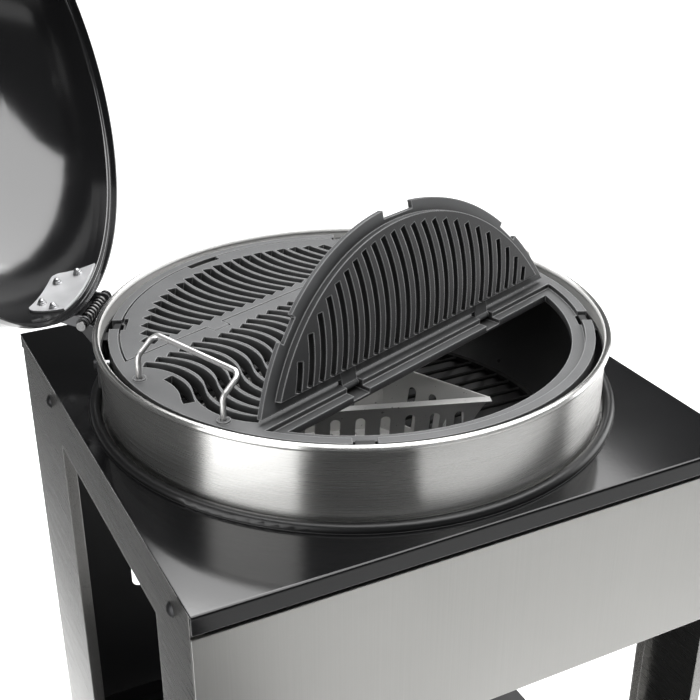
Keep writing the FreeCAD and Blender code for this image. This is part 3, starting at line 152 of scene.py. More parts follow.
def bump(height, depth, strength=1.0, normal=None):
    """A normal that follows the height, which is depth metres high where it is 1."""
    sockets = {"Height": height, "Distance": depth, "Strength": strength}
    if normal:
        sockets["Normal"] = normal
    return height.node("Bump", sockets=sockets)


def link_mesh(name, shape, finish):
    """Turns a shape into an object of the scene, all in one finish."""
    made = bpy.data.objects.new(name, bpy.data.meshes.new(name))
    shape.to_mesh(made.data)
    shape.free()
    made.data.materials.append(finish)
    bpy.context.scene.collection.objects.link(made)
    return made


def lay_sheet(name, corners, height, finish):
    """A flat sheet of the studio, between corners that go round it."""
    sheet = bmesh.new()
    sheet.faces.new([sheet.verts.new((x, y, height)) for x, y in corners])
    made = link_mesh(name, sheet, finish)
    return made


floor_reach = 60
paper_glow = 0.62
floor_paper, floor_shader, floor_place = new_finish(
    "floor_paper", {"Roughness": 0.8, "Emission Color": (1, 1, 1, 1), "Emission Strength": paper_glow}
)
paper_fibre = noise(floor_place, 6.0)
feed(floor_shader, {"Base Color": blend_colours(paper_fibre, (0.90, 0.90, 0.90), (0.93, 0.93, 0.925))})
floor_corners = [(x * floor_reach, y * floor_reach) for x, y in ((-1, -1), (1, -1), (1, 1), (-1, 1))]
lay_sheet("floor", floor_corners, cad_low.z, floor_paper)


# Studio wall: the same pale paper hung all round, far behind the cart. It shows only as the background,
# and neither lights the steel nor shows in it.
wall_radius = 50
wall_height = 80
wall_paper, wall_shader, wall_place = new_finish(
    "wall_paper", {"Roughness": 0.8, "Emission Color": (1, 1, 1, 1), "Emission Strength": paper_glow}
)
wall_fibre = noise(wall_place, 0.2)
feed(wall_shader, {"Base Color": blend_colours(wall_fibre, (0.10, 0.10, 0.10), (0.12, 0.12, 0.12))})
wall_mesh = bmesh.new()
bmesh.ops.create_cone(
    wall_mesh, cap_ends=False, segments=96, radius1=wall_radius, radius2=wall_radius, depth=wall_height
)
bmesh.ops.reverse_faces(wall_mesh, faces=wall_mesh.faces)
wall = link_mesh("studio_wall", wall_mesh, wall_paper)
wall.visible_diffuse = False
wall.visible_glossy = False
wall.visible_shadow = False


# Studio cards: a black, a grey and a dim sheet low round the cart. Only the steel shows them, as darker
# bands, and the floor stays plain.
card_lift = 0.004


def lay_card(name, tone, corners):
    """A matt card just above the floor, as dark as its tone."""
    stock, shader, place = new_finish(name, {"Roughness": 0.9})
    shade = blend_colours(noise(place, 40.0), (tone, tone, tone), (1.3 * tone, 1.3 * tone, 1.3 * tone))
    feed(shader, {"Base Color": shade})
    card = lay_sheet(name, corners, cad_low.z + card_lift, stock)
    card.visible_camera = False
    card.visible_diffuse = False
    card.visible_shadow = False


lay_card("front_card", 0.012, [(-0.43, -0.62), (-5.0, -4.3), (-5.0, -6.0), (0.0, -6.0), (0.0, -0.62)])
lay_card("right_card", 0.62, [(0.0, -0.62), (0.0, -6.0), (3.6, -6.0), (3.6, -0.62)])
lay_card("left_card", 0.05, [(-0.44, -0.2), (-0.44, 7.0), (-7.0, 7.0), (-7.0, -0.08)])


# Studio light: one large soft box hung cornerwise over the cart, which shows in the lid, a white ceiling
# over the background, and a tall box at each side, which shows in the band, in a dim room.
def soft_box(name, place, target, turn, size, glow):
    """A rectangular light at a place, facing a target and turned about its own axis, glowing evenly."""
    lamp = bpy.data.objects.new(name, bpy.data.lights.new(name, "AREA"))
    lamp.data.shape = "RECTANGLE"
    lamp.data.size, lamp.data.size_y = size
    lamp.data.energy = glow * math.pi * size[0] * size[1]
    facing = (Vector(place) - Vector(target)).to_track_quat("Z", "Y")
    lamp.location = place
    lamp.rotation_euler = (facing @ Quaternion((0, 0, 1), math.radians(turn))).to_euler()
    bpy.context.scene.collection.objects.link(lamp)


soft_box("overhead_box", (0.46, 0.07, 1.75), (0.46, 0.07, 0), 45, (2.3, 2.7), 5.2)
soft_box("ceiling_box", (4, 7.5, 8), (4, 7.5, 0), 0, (10, 6), 4.2)
soft_box("left_box", (-1.934, -0.823, 0.40), (0, 0, 0.30), 0, (1.5, 2.0), 4.0)
soft_box("right_box", (2.09, -0.12, 0.20), (0, 0, 0.05), 0, (1.3, 1.4), 3.7)
room = bpy.data.worlds.new("room")
room.use_nodes = True
room.node_tree.nodes["Background"].inputs["Color"].default_value = (0.5, 0.51, 0.52, 1)
room.node_tree.nodes["Background"].inputs["Strength"].default_value = 0.14
bpy.context.scene.world = room
bpy.context.scene.view_settings.view_transform = "Standard"


# Side frames: each is one folded sheet of stainless steel, brushed along its rails, with a wide rear
# leg. They carry the table and are bolted to its skirt.
def dress(finish, *nodes):
    """Puts a finish on solids of the frame."""
    for node in nodes:
        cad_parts[node].material_slots[0].material = finish


def soft_edges(place, radius):
    """A normal that rounds sharp edges, and a mask that is bright along them, for a painted highlight with
    wear.
    """
    rounded = place.node("Bevel", {"samples": 6}, {"Radius": radius})
    flat = place.node("NewGeometry", out="Normal")
    facing = place.node("VectorMath", {"operation": "DOT_PRODUCT"}, {0: rounded, 1: flat}, out="Value")
    return rounded, 1 - facing


def brushed_steel(name, grain, dark, light, rough, stretch):
    """Steel brushed along one way: grain gives the pattern's scale along X, Y and Z."""
    finish, shader, place = new_finish(
        name, {"Metallic": 1.0, "Anisotropic": stretch, "Anisotropic Rotation": 0.25}
    )
    lines = place.node("Mapping", sockets={"Vector": place, "Scale": grain})
    streaks = noise(lines, 1.0, 4.0)
    wide = noise(place, 7.0)
    rounded, edge = soft_edges(place, 0.0016)
    # The edge mask in the shade paints a highlight, with wear, along the steel's edges.
    shade = streaks * 0.6 + wide * 0.4 + edge
    feed(shader, {
        "Base Color": blend_colours(shade, dark, light),
        "Roughness": rough + streaks * 0.12,
        "Normal": bump(streaks, 0.0001, 0.06, rounded),
    })
    return finish


frame_steel = brushed_steel(
    "frame_steel", (1600, 8, 1600), (0.22, 0.217, 0.21), (0.34, 0.336, 0.325), 0.22, 0.4
)
dress(frame_steel, "left_side_frame", "right_side_frame")


# Frame bolts: domed black heads on the outside of the side frames, zinc-dipped and blackened.
# Each is drawn tight on the sheet.
bolt_black, bolt_shader, bolt_place = new_finish("bolt_black", {"Metallic": 0.8})
bolt_grain = noise(bolt_place, 900.0, 3.0)
feed(bolt_shader, {
    "Base Color": blend_colours(bolt_grain, (0.012, 0.012, 0.013), (0.05, 0.05, 0.052)),
    "Roughness": 0.3 + bolt_grain * 0.2,
    "Normal": bump(bolt_grain, 0.0001, 0.3),
})
dress(bolt_black, "frame_bolts")


# Front fascia: a shallow tray of stainless steel across the front, brushed upright and hung a finger's
# width below the table on the front flanges of the side frames.
fascia_steel = brushed_steel(
    "fascia_steel", (1400, 1400, 7), (0.405, 0.402, 0.385), (0.520, 0.516, 0.500), 0.30, 0.7
)
dress(fascia_steel, "front_fascia")


# Cross rail, back panel and bottom shelf: bent sheet steel with a fine black powder coat, screwed between
# the side frames.
powder_black, powder_shader, powder_place = new_finish("powder_black", {"Specular IOR Level": 0.4})
powder_stipple = noise(powder_place, 1300.0, 3.0)
powder_patch = noise(powder_place, 9.0)
powder_round, powder_edge = soft_edges(powder_place, 0.001)
# The edge mask lightens the colour along edges: a painted highlight, with wear.
feed(powder_shader, {
    "Base Color": blend_colours(powder_patch + powder_edge, (0.010, 0.010, 0.011), (0.022, 0.022, 0.023)),
    "Roughness": 0.36 + powder_stipple * 0.16,
    "Normal": bump(powder_stipple, 0.00015, 0.35, powder_round),
})
dress(powder_black, "front_cross_rail", "back_panel", "bottom_shelf")


# Wheels: moulded nylon rims with round lightening holes, solid rubber tyres with a grooved tread, a plain
# steel axle through the rear legs, and push-on caps.
nylon_black, nylon_shader, nylon_place = new_finish("nylon_black", {"Specular IOR Level": 0.45})
nylon_grain = noise(nylon_place, 700.0, 3.0)
nylon_flow = noise(nylon_place, 25.0)
nylon_round, nylon_edge = soft_edges(nylon_place, 0.0012)
# The edge mask lightens the colour along edges: a painted highlight, with wear.
feed(nylon_shader, {
    "Base Color": blend_colours(nylon_flow + nylon_edge, (0.012, 0.012, 0.012), (0.028, 0.028, 0.028)),
    "Roughness": 0.42 + nylon_grain * 0.2,
    "Normal": bump(nylon_grain, 0.0002, 0.4, nylon_round),
})
dress(nylon_black, "left_wheel_rim", "right_wheel_rim", "axle_caps")

tyre_rubber, rubber_shader, rubber_place = new_finish("tyre_rubber", {"Specular IOR Level": 0.3})
rubber_grain = noise(rubber_place, 420.0, 4.0)
rubber_dust = noise(rubber_place, 30.0, 3.0)
feed(rubber_shader, {
    "Base Color": blend_colours(rubber_dust, (0.012, 0.012, 0.012), (0.035, 0.034, 0.033)),
    "Roughness": 0.62 + rubber_grain * 0.25,
    "Normal": bump(rubber_grain, 0.0003, 0.5),
})

tyre_section = [
    (0.0, 0.86), (0.0, 0.93), (0.083, 0.954), (0.25, 0.984), (0.5, 1.0),
    (0.75, 0.984), (0.917, 0.954), (1.0, 0.93), (1.0, 0.86),
]
tread_blocks = 42
steps_per_block = 3
tread_reach = 0.95
groove_slant = 3
groove_depth = 0.0028
groove_slope = 0.0005


def smooth_faces(shape, sharp):
    """Shades a shape smooth, apart from edges that fold by more than a sharp angle in degrees."""
    for face in shape.faces:
        face.smooth = True
    for edge in shape.edges:
        edge.smooth = edge.calc_face_angle(0) < math.radians(sharp)


def treaded_tyre(name, node, wheel):
    """A moulded tyre whose section is given in shares of its width and radius, with grooves in a V."""
    low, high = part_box(node)
    centre = (low + high) / 2
    width = high.x - low.x
    radius = (high.z - low.z) / 2
    steps = tread_blocks * steps_per_block
    tyre = bmesh.new()
    section = [
        tyre.verts.new((low.x + across * width, centre.y, centre.z + out * radius))
        for across, out in tyre_section
    ]
    for start, end in zip(section, section[1:] + section[:1]):
        tyre.edges.new((start, end))
    bmesh.ops.spin(
        tyre, geom=tyre.verts[:] + tyre.edges[:], cent=centre, axis=(1, 0, 0), angle=2 * math.pi,
        steps=steps, use_merge=True,
    )
    bmesh.ops.recalc_face_normals(tyre, faces=tyre.faces)
    grooves = []
    for face in tyre.faces:
        spot = face.calc_center_median() - centre
        step = math.floor(steps * math.atan2(spot.z, spot.y) / (2 * math.pi))
        slant = round(groove_slant * abs(spot.x) / width)
        if math.hypot(spot.y, spot.z) > tread_reach * radius and (step + slant) % steps_per_block == 0:
            grooves.append(face)
    bmesh.ops.inset_region(
        tyre, faces=grooves, use_boundary=True, use_even_offset=True, thickness=groove_slope,
        depth=-groove_depth,
    )
    smooth_faces(tyre, 25)
    made = link_mesh(name, tyre, tyre_rubber)
    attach(made, wheel)
    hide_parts(node)


treaded_tyre("left_treaded_tyre", "left_tyre", "left_wheel")
treaded_tyre("right_treaded_tyre", "right_tyre", "right_wheel")

plated_steel, plated_shader, plated_place = new_finish("plated_steel", {"Metallic": 1.0})
plated_spangle = plated_place.node(
    "TexVoronoi", sockets={"Vector": plated_place, "Scale": 90.0}, out="Color"
)
plated_tone = plated_place.node("SeparateXYZ", sockets={0: plated_spangle})
plated_dull = noise(plated_place, 14.0, 3.0)
plated_round, plated_edge = soft_edges(plated_place, 0.0006)
# The edge mask lightens the colour along edges: a painted highlight, with wear.
feed(plated_shader, {
    "Base Color": blend_colours(
        plated_tone * 0.3 + plated_dull * 0.7 + plated_edge, (0.27, 0.27, 0.27), (0.52, 0.515, 0.50)
    ),
    "Roughness": 0.26 + plated_dull * 0.2 + plated_tone * 0.06,
    "Normal": bump(plated_dull, 0.0002, 0.2, plated_round),
})
dress(plated_steel, "wheel_axle", "front_feet")


# Tabletop: a folded steel tray in glossy black enamel, with a bead pressed up round the kettle.
# The enamel has the faint orange-peel ripple of a sprayed and fired coat, and heat dulls it on the bead.
bead_outside = 0.3005


def from_axis(place):
    """Distance from the kettle's upright axis."""
    level = place.node("VectorMath", {"operation": "MULTIPLY"}, {0: place, 1: (1, 1, 0)})
    return place.node("VectorMath", {"operation": "LENGTH"}, {0: level}, out="Value")


table_enamel, table_shader, table_place = new_finish("table_enamel", {"IOR": 1.5})
table_ripple = noise(table_place, 190.0, 2.0)
table_haze = noise(table_place, 5.0, 3.0)
table_round, table_edge = soft_edges(table_place, 0.0012)
on_bead = from_axis(table_place) < bead_outside
# The edge mask lightens the colour along edges: a painted highlight, with wear.
feed(table_shader, {
    "Base Color": blend_colours(table_haze + table_edge, (0.0028, 0.0028, 0.003), (0.0055, 0.0055, 0.006)),
    "Roughness": 0.07 + table_haze * 0.07 + on_bead * 0.25,
    "Normal": bump(table_ripple, 0.0002, 0.05, table_round),
})
dress(table_enamel, "tabletop")


# Bowl and collar: pressed steel in black porcelain enamel, hung in the band. The glaze is smooth and
# a little uneven in gloss, and ash has dulled it inside the bowl.
porcelain, porcelain_shader, porcelain_place = new_finish(
    "porcelain_black", {"IOR": 1.52, "Specular IOR Level": 0.85}
)
porcelain_ripple = noise(porcelain_place, 130.0, 2.0)
porcelain_haze = noise(porcelain_place, 11.0, 4.0)
feed(porcelain_shader, {
    "Base Color": blend_colours(porcelain_haze, (0.006, 0.006, 0.0065), (0.011, 0.011, 0.0115)),
    "Roughness": 0.10 + porcelain_haze * 0.08,
    "Normal": bump(porcelain_ripple, 0.0002, 0.06),
})
dress(porcelain, "ash_collar")

bowl_black, bowl_shader, bowl_place = new_finish("bowl_black", {"IOR": 1.5})
bowl_soot = noise(bowl_place, 24.0, 4.0)
feed(bowl_shader, {
    "Base Color": blend_colours(bowl_soot, (0.012, 0.012, 0.0125), (0.026, 0.026, 0.026)),
    "Roughness": 0.22 + bowl_soot * 0.2,
    "Normal": bump(bowl_soot, 0.0002, 0.05),
})
dress(bowl_black, "bowl")


# Bowl band: a hoop of stainless steel brushed round its length, with a rolled rim, let down through the
# table and flanged under it.
band_inside = 0.2828
band_steel, band_shader, band_place = new_finish(
    "band_steel", {"Anisotropic": 0.97, "Anisotropic Rotation": 0.25}
)
band_lines = band_place.node("Mapping", sockets={"Vector": band_place, "Scale": (4, 4, 3200)})
band_streaks = noise(band_lines, 1.0, 3.0)
inner_wall = from_axis(band_place) < band_inside
feed(band_shader, {
    "Base Color": blend_colours(band_streaks, (0.63, 0.625, 0.61), (0.70, 0.695, 0.68)),
    "Metallic": 1 - inner_wall * 0.7,
    "Roughness": 0.26 + band_streaks * 0.03 + inner_wall * 0.2,
    "Normal": bump(band_streaks, 0.0001, 0.012, soft_edges(band_place, 0.0008)[0]),
})
dress(band_steel, "bowl_band")


# Grate brackets: bent steel tabs in the same black enamel, welded inside the bowl under the grate's rim.
# Their lugs stand in notches of the casting.
dress(table_enamel, "grate_brackets")


# Charcoal grate: steel rods welded in a ring, low in the bowl. Fire has burnt them nearly black.
# Ash leaves a few paler patches.
burnt_steel, burnt_shader, burnt_place = new_finish("burnt_steel", {"Specular IOR Level": 0.2})
burnt_scale = noise(burnt_place, 180.0, 4.0)
burnt_ash = noise(burnt_place, 14.0, 3.0)
burnt_shade = burnt_ash * 0.6 + burnt_scale * 0.4
feed(burnt_shader, {
    "Base Color": blend_colours(burnt_shade, (0.003, 0.003, 0.003), (0.013, 0.0125, 0.012)),
    "Roughness": 0.6 + burnt_scale * 0.3,
    "Normal": bump(burnt_scale, 0.0003, 0.4),
})
dress(burnt_steel, "charcoal_grate")


# Charcoal basket: slotted sheet steel folded into a wedge, which holds the coals to one side.
# Heat has dulled and tinted the metal.
heat_steel, heat_shader, heat_place = new_finish("heat_steel", {"Metallic": 0.6})
heat_bands = noise(heat_place, 9.0, 3.0)
heat_grain = noise(heat_place, 260.0, 3.0)
heat_round, heat_edge = soft_edges(heat_place, 0.0006)
heat_stops = [
    (0.3, (0.56, 0.56, 0.56, 1)),
    (0.55, (0.68, 0.675, 0.66, 1)),
    (0.8, (0.61, 0.60, 0.585, 1)),
]
# The edge mask moves the tint paler along edges: a painted highlight, with wear.
heat_tint = heat_bands.node("ValToRGB", {"stops": heat_stops}, {0: heat_bands + heat_edge * 0.3})
feed(heat_shader, {
    "Base Color": heat_tint,
    "Roughness": 0.24 + heat_grain * 0.12,
    "Normal": bump(heat_grain, 0.0001, 0.03, heat_round),
})
dress(heat_steel, "charcoal_basket")


# Cooking grate: a cast-iron ring with a strip of wavy bars, and two hinged wings, all in matt enamel.
# The sand-cast skin is pitted. Painted shade darkens the slots and the undersides, and the edges carry a
# painted highlight and are rubbed paler.
grate_turn = math.radians(20.6)
wing_lift = math.radians(103)
shade_start = 0.003
shade_depth = 0.009
pins_low, pins_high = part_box("front_hinge_pins")
wing_pivot = (pins_low + pins_high) / 2


def cast_iron(name, shine, underside):
    """Enamelled cast iron, with painted shade from just below the wings' pivot down to its underside."""
    finish, shader, place = new_finish(name, {"Specular IOR Level": shine})
    sand = noise(place, 1100.0, 3.0)
    cloud = noise(place, 16.0, 4.0)
    rounded, edge = soft_edges(place, 0.0022)
    clear = place.node("AmbientOcclusion", {"samples": 8}, {"Distance": 0.014}, out="AO")
    along = place.node("VectorMath", {"operation": "DOT_PRODUCT"}, {0: place, 1: underside}, out="Value")
    # Painted shade: the colour darkens from just below the wings' pivot down to the underside, and so on
    # the lifted wing's face.
    depth = (along - wing_pivot.dot(underside) - shade_start) * (1 / shade_depth)
    skin = blend_colours(cloud * 0.8, (0.038, 0.039, 0.040), (0.094, 0.095, 0.097))
    underside_shaded = blend_colours(depth, skin, (0.013, 0.013, 0.0135))
    # Painted shade in the slots: where little is open round the iron, the colour goes nearly black.
    slot_shaded = blend_colours(clear * 1.5 - 0.5, (0.006, 0.006, 0.006), underside_shaded)
    # Painted highlight, with wear: the colour goes pale grey along the edges.
    feed(shader, {
        "Base Color": blend_colours(edge * 7, slot_shaded, (0.24, 0.241, 0.243)),
        "Roughness": 0.42 + sand * 0.2,
        "Normal": bump(sand, 0.0003, 0.45, rounded),
    })
    return finish


downward = Vector((0, 0, -1))
grate_iron = cast_iron("grate_iron", 0.55, downward)
dress(grate_iron, "grate_frame", "rear_flap", "front_hinge_pins", "rear_hinge_pins")
lifting = Matrix.Rotation(grate_turn, 3, "Z") @ Matrix.Rotation(-wing_lift, 3, "X")
# The wings' copy of the iron shines less, which paints shade on the lifted wing's face.
shaded_wing_iron = cast_iron("shaded_wing_iron", 0.2, lifting @ downward)
dress(shaded_wing_iron, "front_flap")


# Grate handles: bright drawn stainless wire, bent into loops that lift the casting.
# Drawing leaves faint lines and a soft shine.
drawn_wire, wire_shader, wire_place = new_finish("drawn_wire", {"Metallic": 1.0})
wire_lines = noise(wire_place, 480.0, 3.0)
wire_smear = noise(wire_place, 40.0, 2.0)
feed(wire_shader, {
    "Base Color": blend_colours(wire_smear, (0.64, 0.635, 0.625), (0.78, 0.775, 0.77)),
    "Roughness": 0.30 + wire_lines * 0.12,
    "Normal": bump(wire_lines, 0.00006, 0.25),
})
dress(drawn_wire, "left_grate_handle", "right_grate_handle")


# Ash sweeper and can: plain steel blades on a shaft, a flat lever with a nylon grip, and a deep-drawn
# aluminised can with a wire handle.
dress(heat_steel, "ash_sweeper", "sweeper_lever")
dress(nylon_black, "sweeper_grip")
dress(plated_steel, "ash_can", "ash_can_handle")


# Hinge base: a black enamelled plate bolted to the band, with two ears that carry the pin. The nuts are
# zinc-plated, and the pin is turned from plain steel.
zinc, zinc_shader, zinc_place = new_finish("zinc_plate", {"Metallic": 1.0})
zinc_smear = noise(zinc_place, 120.0, 3.0)
zinc_round, zinc_edge = soft_edges(zinc_place, 0.0005)
# The edge mask lightens the colour along edges: a painted highlight, with wear.
feed(zinc_shader, {
    "Base Color": blend_colours(zinc_smear + zinc_edge, (0.34, 0.345, 0.355), (0.52, 0.52, 0.525)),
    "Roughness": 0.24 + zinc_smear * 0.16,
    "Normal": bump(zinc_smear, 0.0001, 0.15, zinc_round),
})
dress(powder_black, "hinge_base")
dress(bolt_black, "hinge_base_bolts")
dress(zinc, "hinge_base_nuts")

pin_steel, pin_shader, pin_place = new_finish("pin_steel", {"Metallic": 1.0})
pin_smear = noise(pin_place, 700.0, 3.0)
pin_round, pin_edge = soft_edges(pin_place, 0.0008)
# The edge mask lightens the colour along edges: a painted highlight, with wear.
feed(pin_shader, {
    "Base Color": blend_colours(pin_smear + pin_edge, (0.09, 0.09, 0.092), (0.24, 0.238, 0.235)),
    "Roughness": 0.22 + pin_smear * 0.2,
    "Normal": bump(pin_smear, 0.0003, 0.5, pin_round),
})
dress(pin_steel, "hinge_pin", "hinge_pin_nut")


# Hinge spring: oil-dark spring wire wound on the pin between the lid's ears. One leg lies on the hinge
# base, and it takes the lid's weight as the lid opens.
hinge_turn = math.radians(145)
pin_reach = 0.304
pin_height = 0.075
spring_wire = 0.0021
spring_radius = 0.0059
spring_pitch = 0.0076
spring_turns = 7
spring_leg = 0.012
steps_per_turn = 28
in_hinge_axes = Matrix.Rotation(hinge_turn, 4, "Z")


def edges_between(shape, corners):
    """The edges of a shape that join two of the corners."""
    return [edge for edge in shape.edges if set(edge.verts) <= set(corners)]


def drawn_corners(drawn):
    """The new corners of an extrusion."""
    return [part for part in drawn["geom"] if isinstance(part, bmesh.types.BMVert)]


spring_dark, spring_shader, spring_place = new_finish("spring_dark", {"Metallic": 1.0})
spring_oil = noise(spring_place, 300.0, 3.0)
feed(spring_shader, {
    "Base Color": blend_colours(spring_oil, (0.06, 0.06, 0.062), (0.16, 0.158, 0.155)),
    "Roughness": 0.24 + spring_oil * 0.16,
    "Normal": bump(spring_oil, 0.0001, 0.2),
})
spring_mesh = bmesh.new()
spring_start = Vector((pin_reach, -spring_pitch * spring_turns / 2, pin_height))
lead = math.atan2(spring_pitch, 2 * math.pi * spring_radius)
ring_place = Matrix.Translation(spring_start - Vector((0, 0, spring_radius)))
ring_turn = Matrix.Rotation(lead, 4, "Z") @ Matrix.Rotation(math.radians(90), 4, "Y")
ring = bmesh.ops.create_circle(
    spring_mesh, cap_ends=False, segments=14, radius=spring_wire, matrix=ring_place @ ring_turn
)["verts"]
ring_edges = edges_between(spring_mesh, ring)
first_end = drawn_corners(bmesh.ops.extrude_edge_only(spring_mesh, edges=ring_edges))
bmesh.ops.translate(spring_mesh, verts=first_end, vec=(-spring_leg, 0, 0))
bmesh.ops.contextual_create(spring_mesh, geom=edges_between(spring_mesh, first_end))
wound = bmesh.ops.spin(
    spring_mesh, geom=ring + ring_edges, cent=spring_start, axis=(0, -1, 0),
    dvec=(0, spring_pitch / steps_per_turn, 0), angle=2 * math.pi * spring_turns,
    steps=steps_per_turn * spring_turns,
)
last_edges = [part for part in wound["geom_last"] if isinstance(part, bmesh.types.BMEdge)]
last_end = drawn_corners(bmesh.ops.extrude_edge_only(spring_mesh, edges=last_edges))
bmesh.ops.translate(spring_mesh, verts=last_end, vec=(2 * spring_wire, 0, 0))
bmesh.ops.contextual_create(spring_mesh, geom=edges_between(spring_mesh, last_end))
bmesh.ops.transform(spring_mesh, matrix=in_hinge_axes, verts=spring_mesh.verts)
bmesh.ops.recalc_face_normals(spring_mesh, faces=spring_mesh.faces)
for face in spring_mesh.faces:
    face.smooth = len(face.verts) == 4
spring = link_mesh("wound_spring", spring_mesh, spring_dark)
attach(spring, "cart")
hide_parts("hinge_spring")


# Lid: a deep pressed dome in black porcelain enamel, inside and out, with a stepped rim. A plain steel
# bracket outside and a bright plate inside clamp it at the hinge.
dress(porcelain, "lid_shell")
bracket_steel, bracket_shader, bracket_place = new_finish("bracket_steel", {"Metallic": 0.6})
bracket_cloud = noise(bracket_place, 60.0, 3.0)
bracket_round, bracket_edge = soft_edges(bracket_place, 0.0006)
# The edge mask lightens the colour along edges: a painted highlight, with wear.
feed(bracket_shader, {
    "Base Color": blend_colours(bracket_cloud + bracket_edge, (0.05, 0.05, 0.052), (0.12, 0.12, 0.123)),
    "Roughness": 0.36 + bracket_cloud * 0.16,
    "Normal": bump(bracket_cloud, 0.0001, 0.1, bracket_round),
})
dress(bracket_steel, "lid_bracket")
plate_steel, plate_shader, plate_place = new_finish("hinge_plate_steel", {"Metallic": 0.55})
plate_cloud = noise(plate_place, 45.0, 3.0)
plate_round, plate_edge = soft_edges(plate_place, 0.0006)
# The edge mask lightens the colour along edges: a painted highlight, with wear.
feed(plate_shader, {
    "Base Color": blend_colours(plate_cloud + plate_edge, (0.56, 0.565, 0.575), (0.76, 0.76, 0.77)),
    "Roughness": 0.34 + plate_cloud * 0.12,
    "Normal": bump(plate_cloud, 0.0001, 0.08, plate_round),
})
dress(plate_steel, "lid_inner_plate")
dress(zinc, "lid_hinge_screws")


# Hinge web: a folded strip of the bracket's own sheet between its two ears, behind the spring. It is
# welded along the ears' outer edges and ends in a short lip.
lid_opening = math.radians(107)
pin_axis = Matrix.Translation((pin_reach, 0, pin_height))
on_lid = in_hinge_axes @ pin_axis @ Matrix.Rotation(lid_opening, 4, "Y") @ pin_axis.inverted()
web_half = 0.0330
web_line = [(0.3095, 0.0850), (0.3066, 0.0842), (0.2935, 0.1066)]
web_sheet = 0.0012
web_mesh = bmesh.new()
web_fold = [web_mesh.verts.new((out, -web_half, height)) for out, height in web_line]
web_edges = [web_mesh.edges.new(pair) for pair in zip(web_fold, web_fold[1:])]
web_far = drawn_corners(bmesh.ops.extrude_edge_only(web_mesh, edges=web_edges))
bmesh.ops.translate(web_mesh, verts=web_far, vec=(0, 2 * web_half, 0))
bmesh.ops.recalc_face_normals(web_mesh, faces=web_mesh.faces)
bmesh.ops.solidify(web_mesh, geom=web_mesh.faces[:], thickness=web_sheet)
bmesh.ops.transform(web_mesh, matrix=on_lid, verts=web_mesh.verts)
web = link_mesh("hinge_web", web_mesh, bracket_steel)
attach(web, "lid")


# Cap nuts: four zinc-plated acorn nuts on washers, which draw the bracket and the plate together through
# the lid's wall. Their domes are rounded, and the hexagons have eased edges.
shoulder_place = 0.138
shoulder_height = 0.100
shoulder_radius = 0.150
plate_turn = -4.5
nut_rows = ((4.0, 9.0), (12.5, 5.5))
nut_seat = 0.0046
nut_radius = 0.005
nut_height = 0.0030
nut_edge = 0.0003
eased_fold = 30
dome_radius = 0.0039
dome_sink = 0.0002
washer_radius = 0.0058
washer_height = 0.0008


def on_shoulder(turn, rise, out):
    """Place on the lid's shoulder, by its turn, rise and distance outward, with its X axis outward."""
    around = Matrix.Rotation(math.radians(turn), 4, "Z")
    up = Matrix.Rotation(math.radians(-rise), 4, "Y")
    shoulder = Matrix.Translation((shoulder_place, 0, shoulder_height))
    return on_lid @ around @ shoulder @ up @ Matrix.Translation((shoulder_radius + out, 0, 0))


inward = Matrix.Rotation(math.radians(-90), 4, "Y")
seats = [
    on_shoulder(plate_turn + side * spread, rise, -nut_seat) @ inward
    for rise, spread in nut_rows
    for side in (-1, 1)
]
nut_mesh = bmesh.new()
for seat in seats:
    bmesh.ops.create_cone(
        nut_mesh, cap_ends=True, segments=32, radius1=washer_radius, radius2=washer_radius,
        depth=washer_height, matrix=seat @ Matrix.Translation((0, 0, washer_height / 2)),
    )
    bmesh.ops.create_cone(
        nut_mesh, cap_ends=True, segments=6, radius1=nut_radius, radius2=nut_radius, depth=nut_height,
        matrix=seat @ Matrix.Translation((0, 0, nut_height / 2)),
    )
sharp_edges = [edge for edge in nut_mesh.edges if edge.calc_face_angle(0) > math.radians(eased_fold)]
bmesh.ops.bevel(
    nut_mesh, geom=sharp_edges, offset=nut_edge, offset_type="OFFSET", affect="EDGES", segments=2,
    profile=0.5, material=-1, clamp_overlap=True,
)
for seat in seats:
    bmesh.ops.create_uvsphere(
        nut_mesh, u_segments=24, v_segments=14, radius=dome_radius,
        matrix=seat @ Matrix.Translation((0, 0, nut_height - dome_sink)),
    )
smooth_faces(nut_mesh, 50)
nuts = link_mesh("cap_nuts", nut_mesh, zinc)
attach(nuts, "lid")
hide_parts("lid_hinge_nuts")


# Lid handle: a stainless tube on two nylon posts, at the lid's front.
# The tube is brushed round, and its ends are rounded over.
bar_steel = brushed_steel(
    "handle_bar_steel", (700, 700, 700), (0.55, 0.545, 0.53), (0.74, 0.735, 0.72), 0.22, 0.4
)
dress(bar_steel, "lid_handle_bar")
dress(nylon_black, "lid_handle_posts")


# Thermometer: a bright pressed case on the lid, a white dial behind its bezel and a steel stem into
# the dome. Marks and a needle show under a thin domed glass.
dial_white, dial_shader, dial_place = new_finish("dial_white", {"Roughness": 0.35})
dial_grain = noise(dial_place, 500.0, 2.0)
feed(dial_shader, {"Base Color": blend_colours(dial_grain, (0.74, 0.74, 0.72), (0.82, 0.82, 0.80))})
dress(zinc, "thermometer_case", "thermometer_stem")
dress(dial_white, "thermometer_dial")

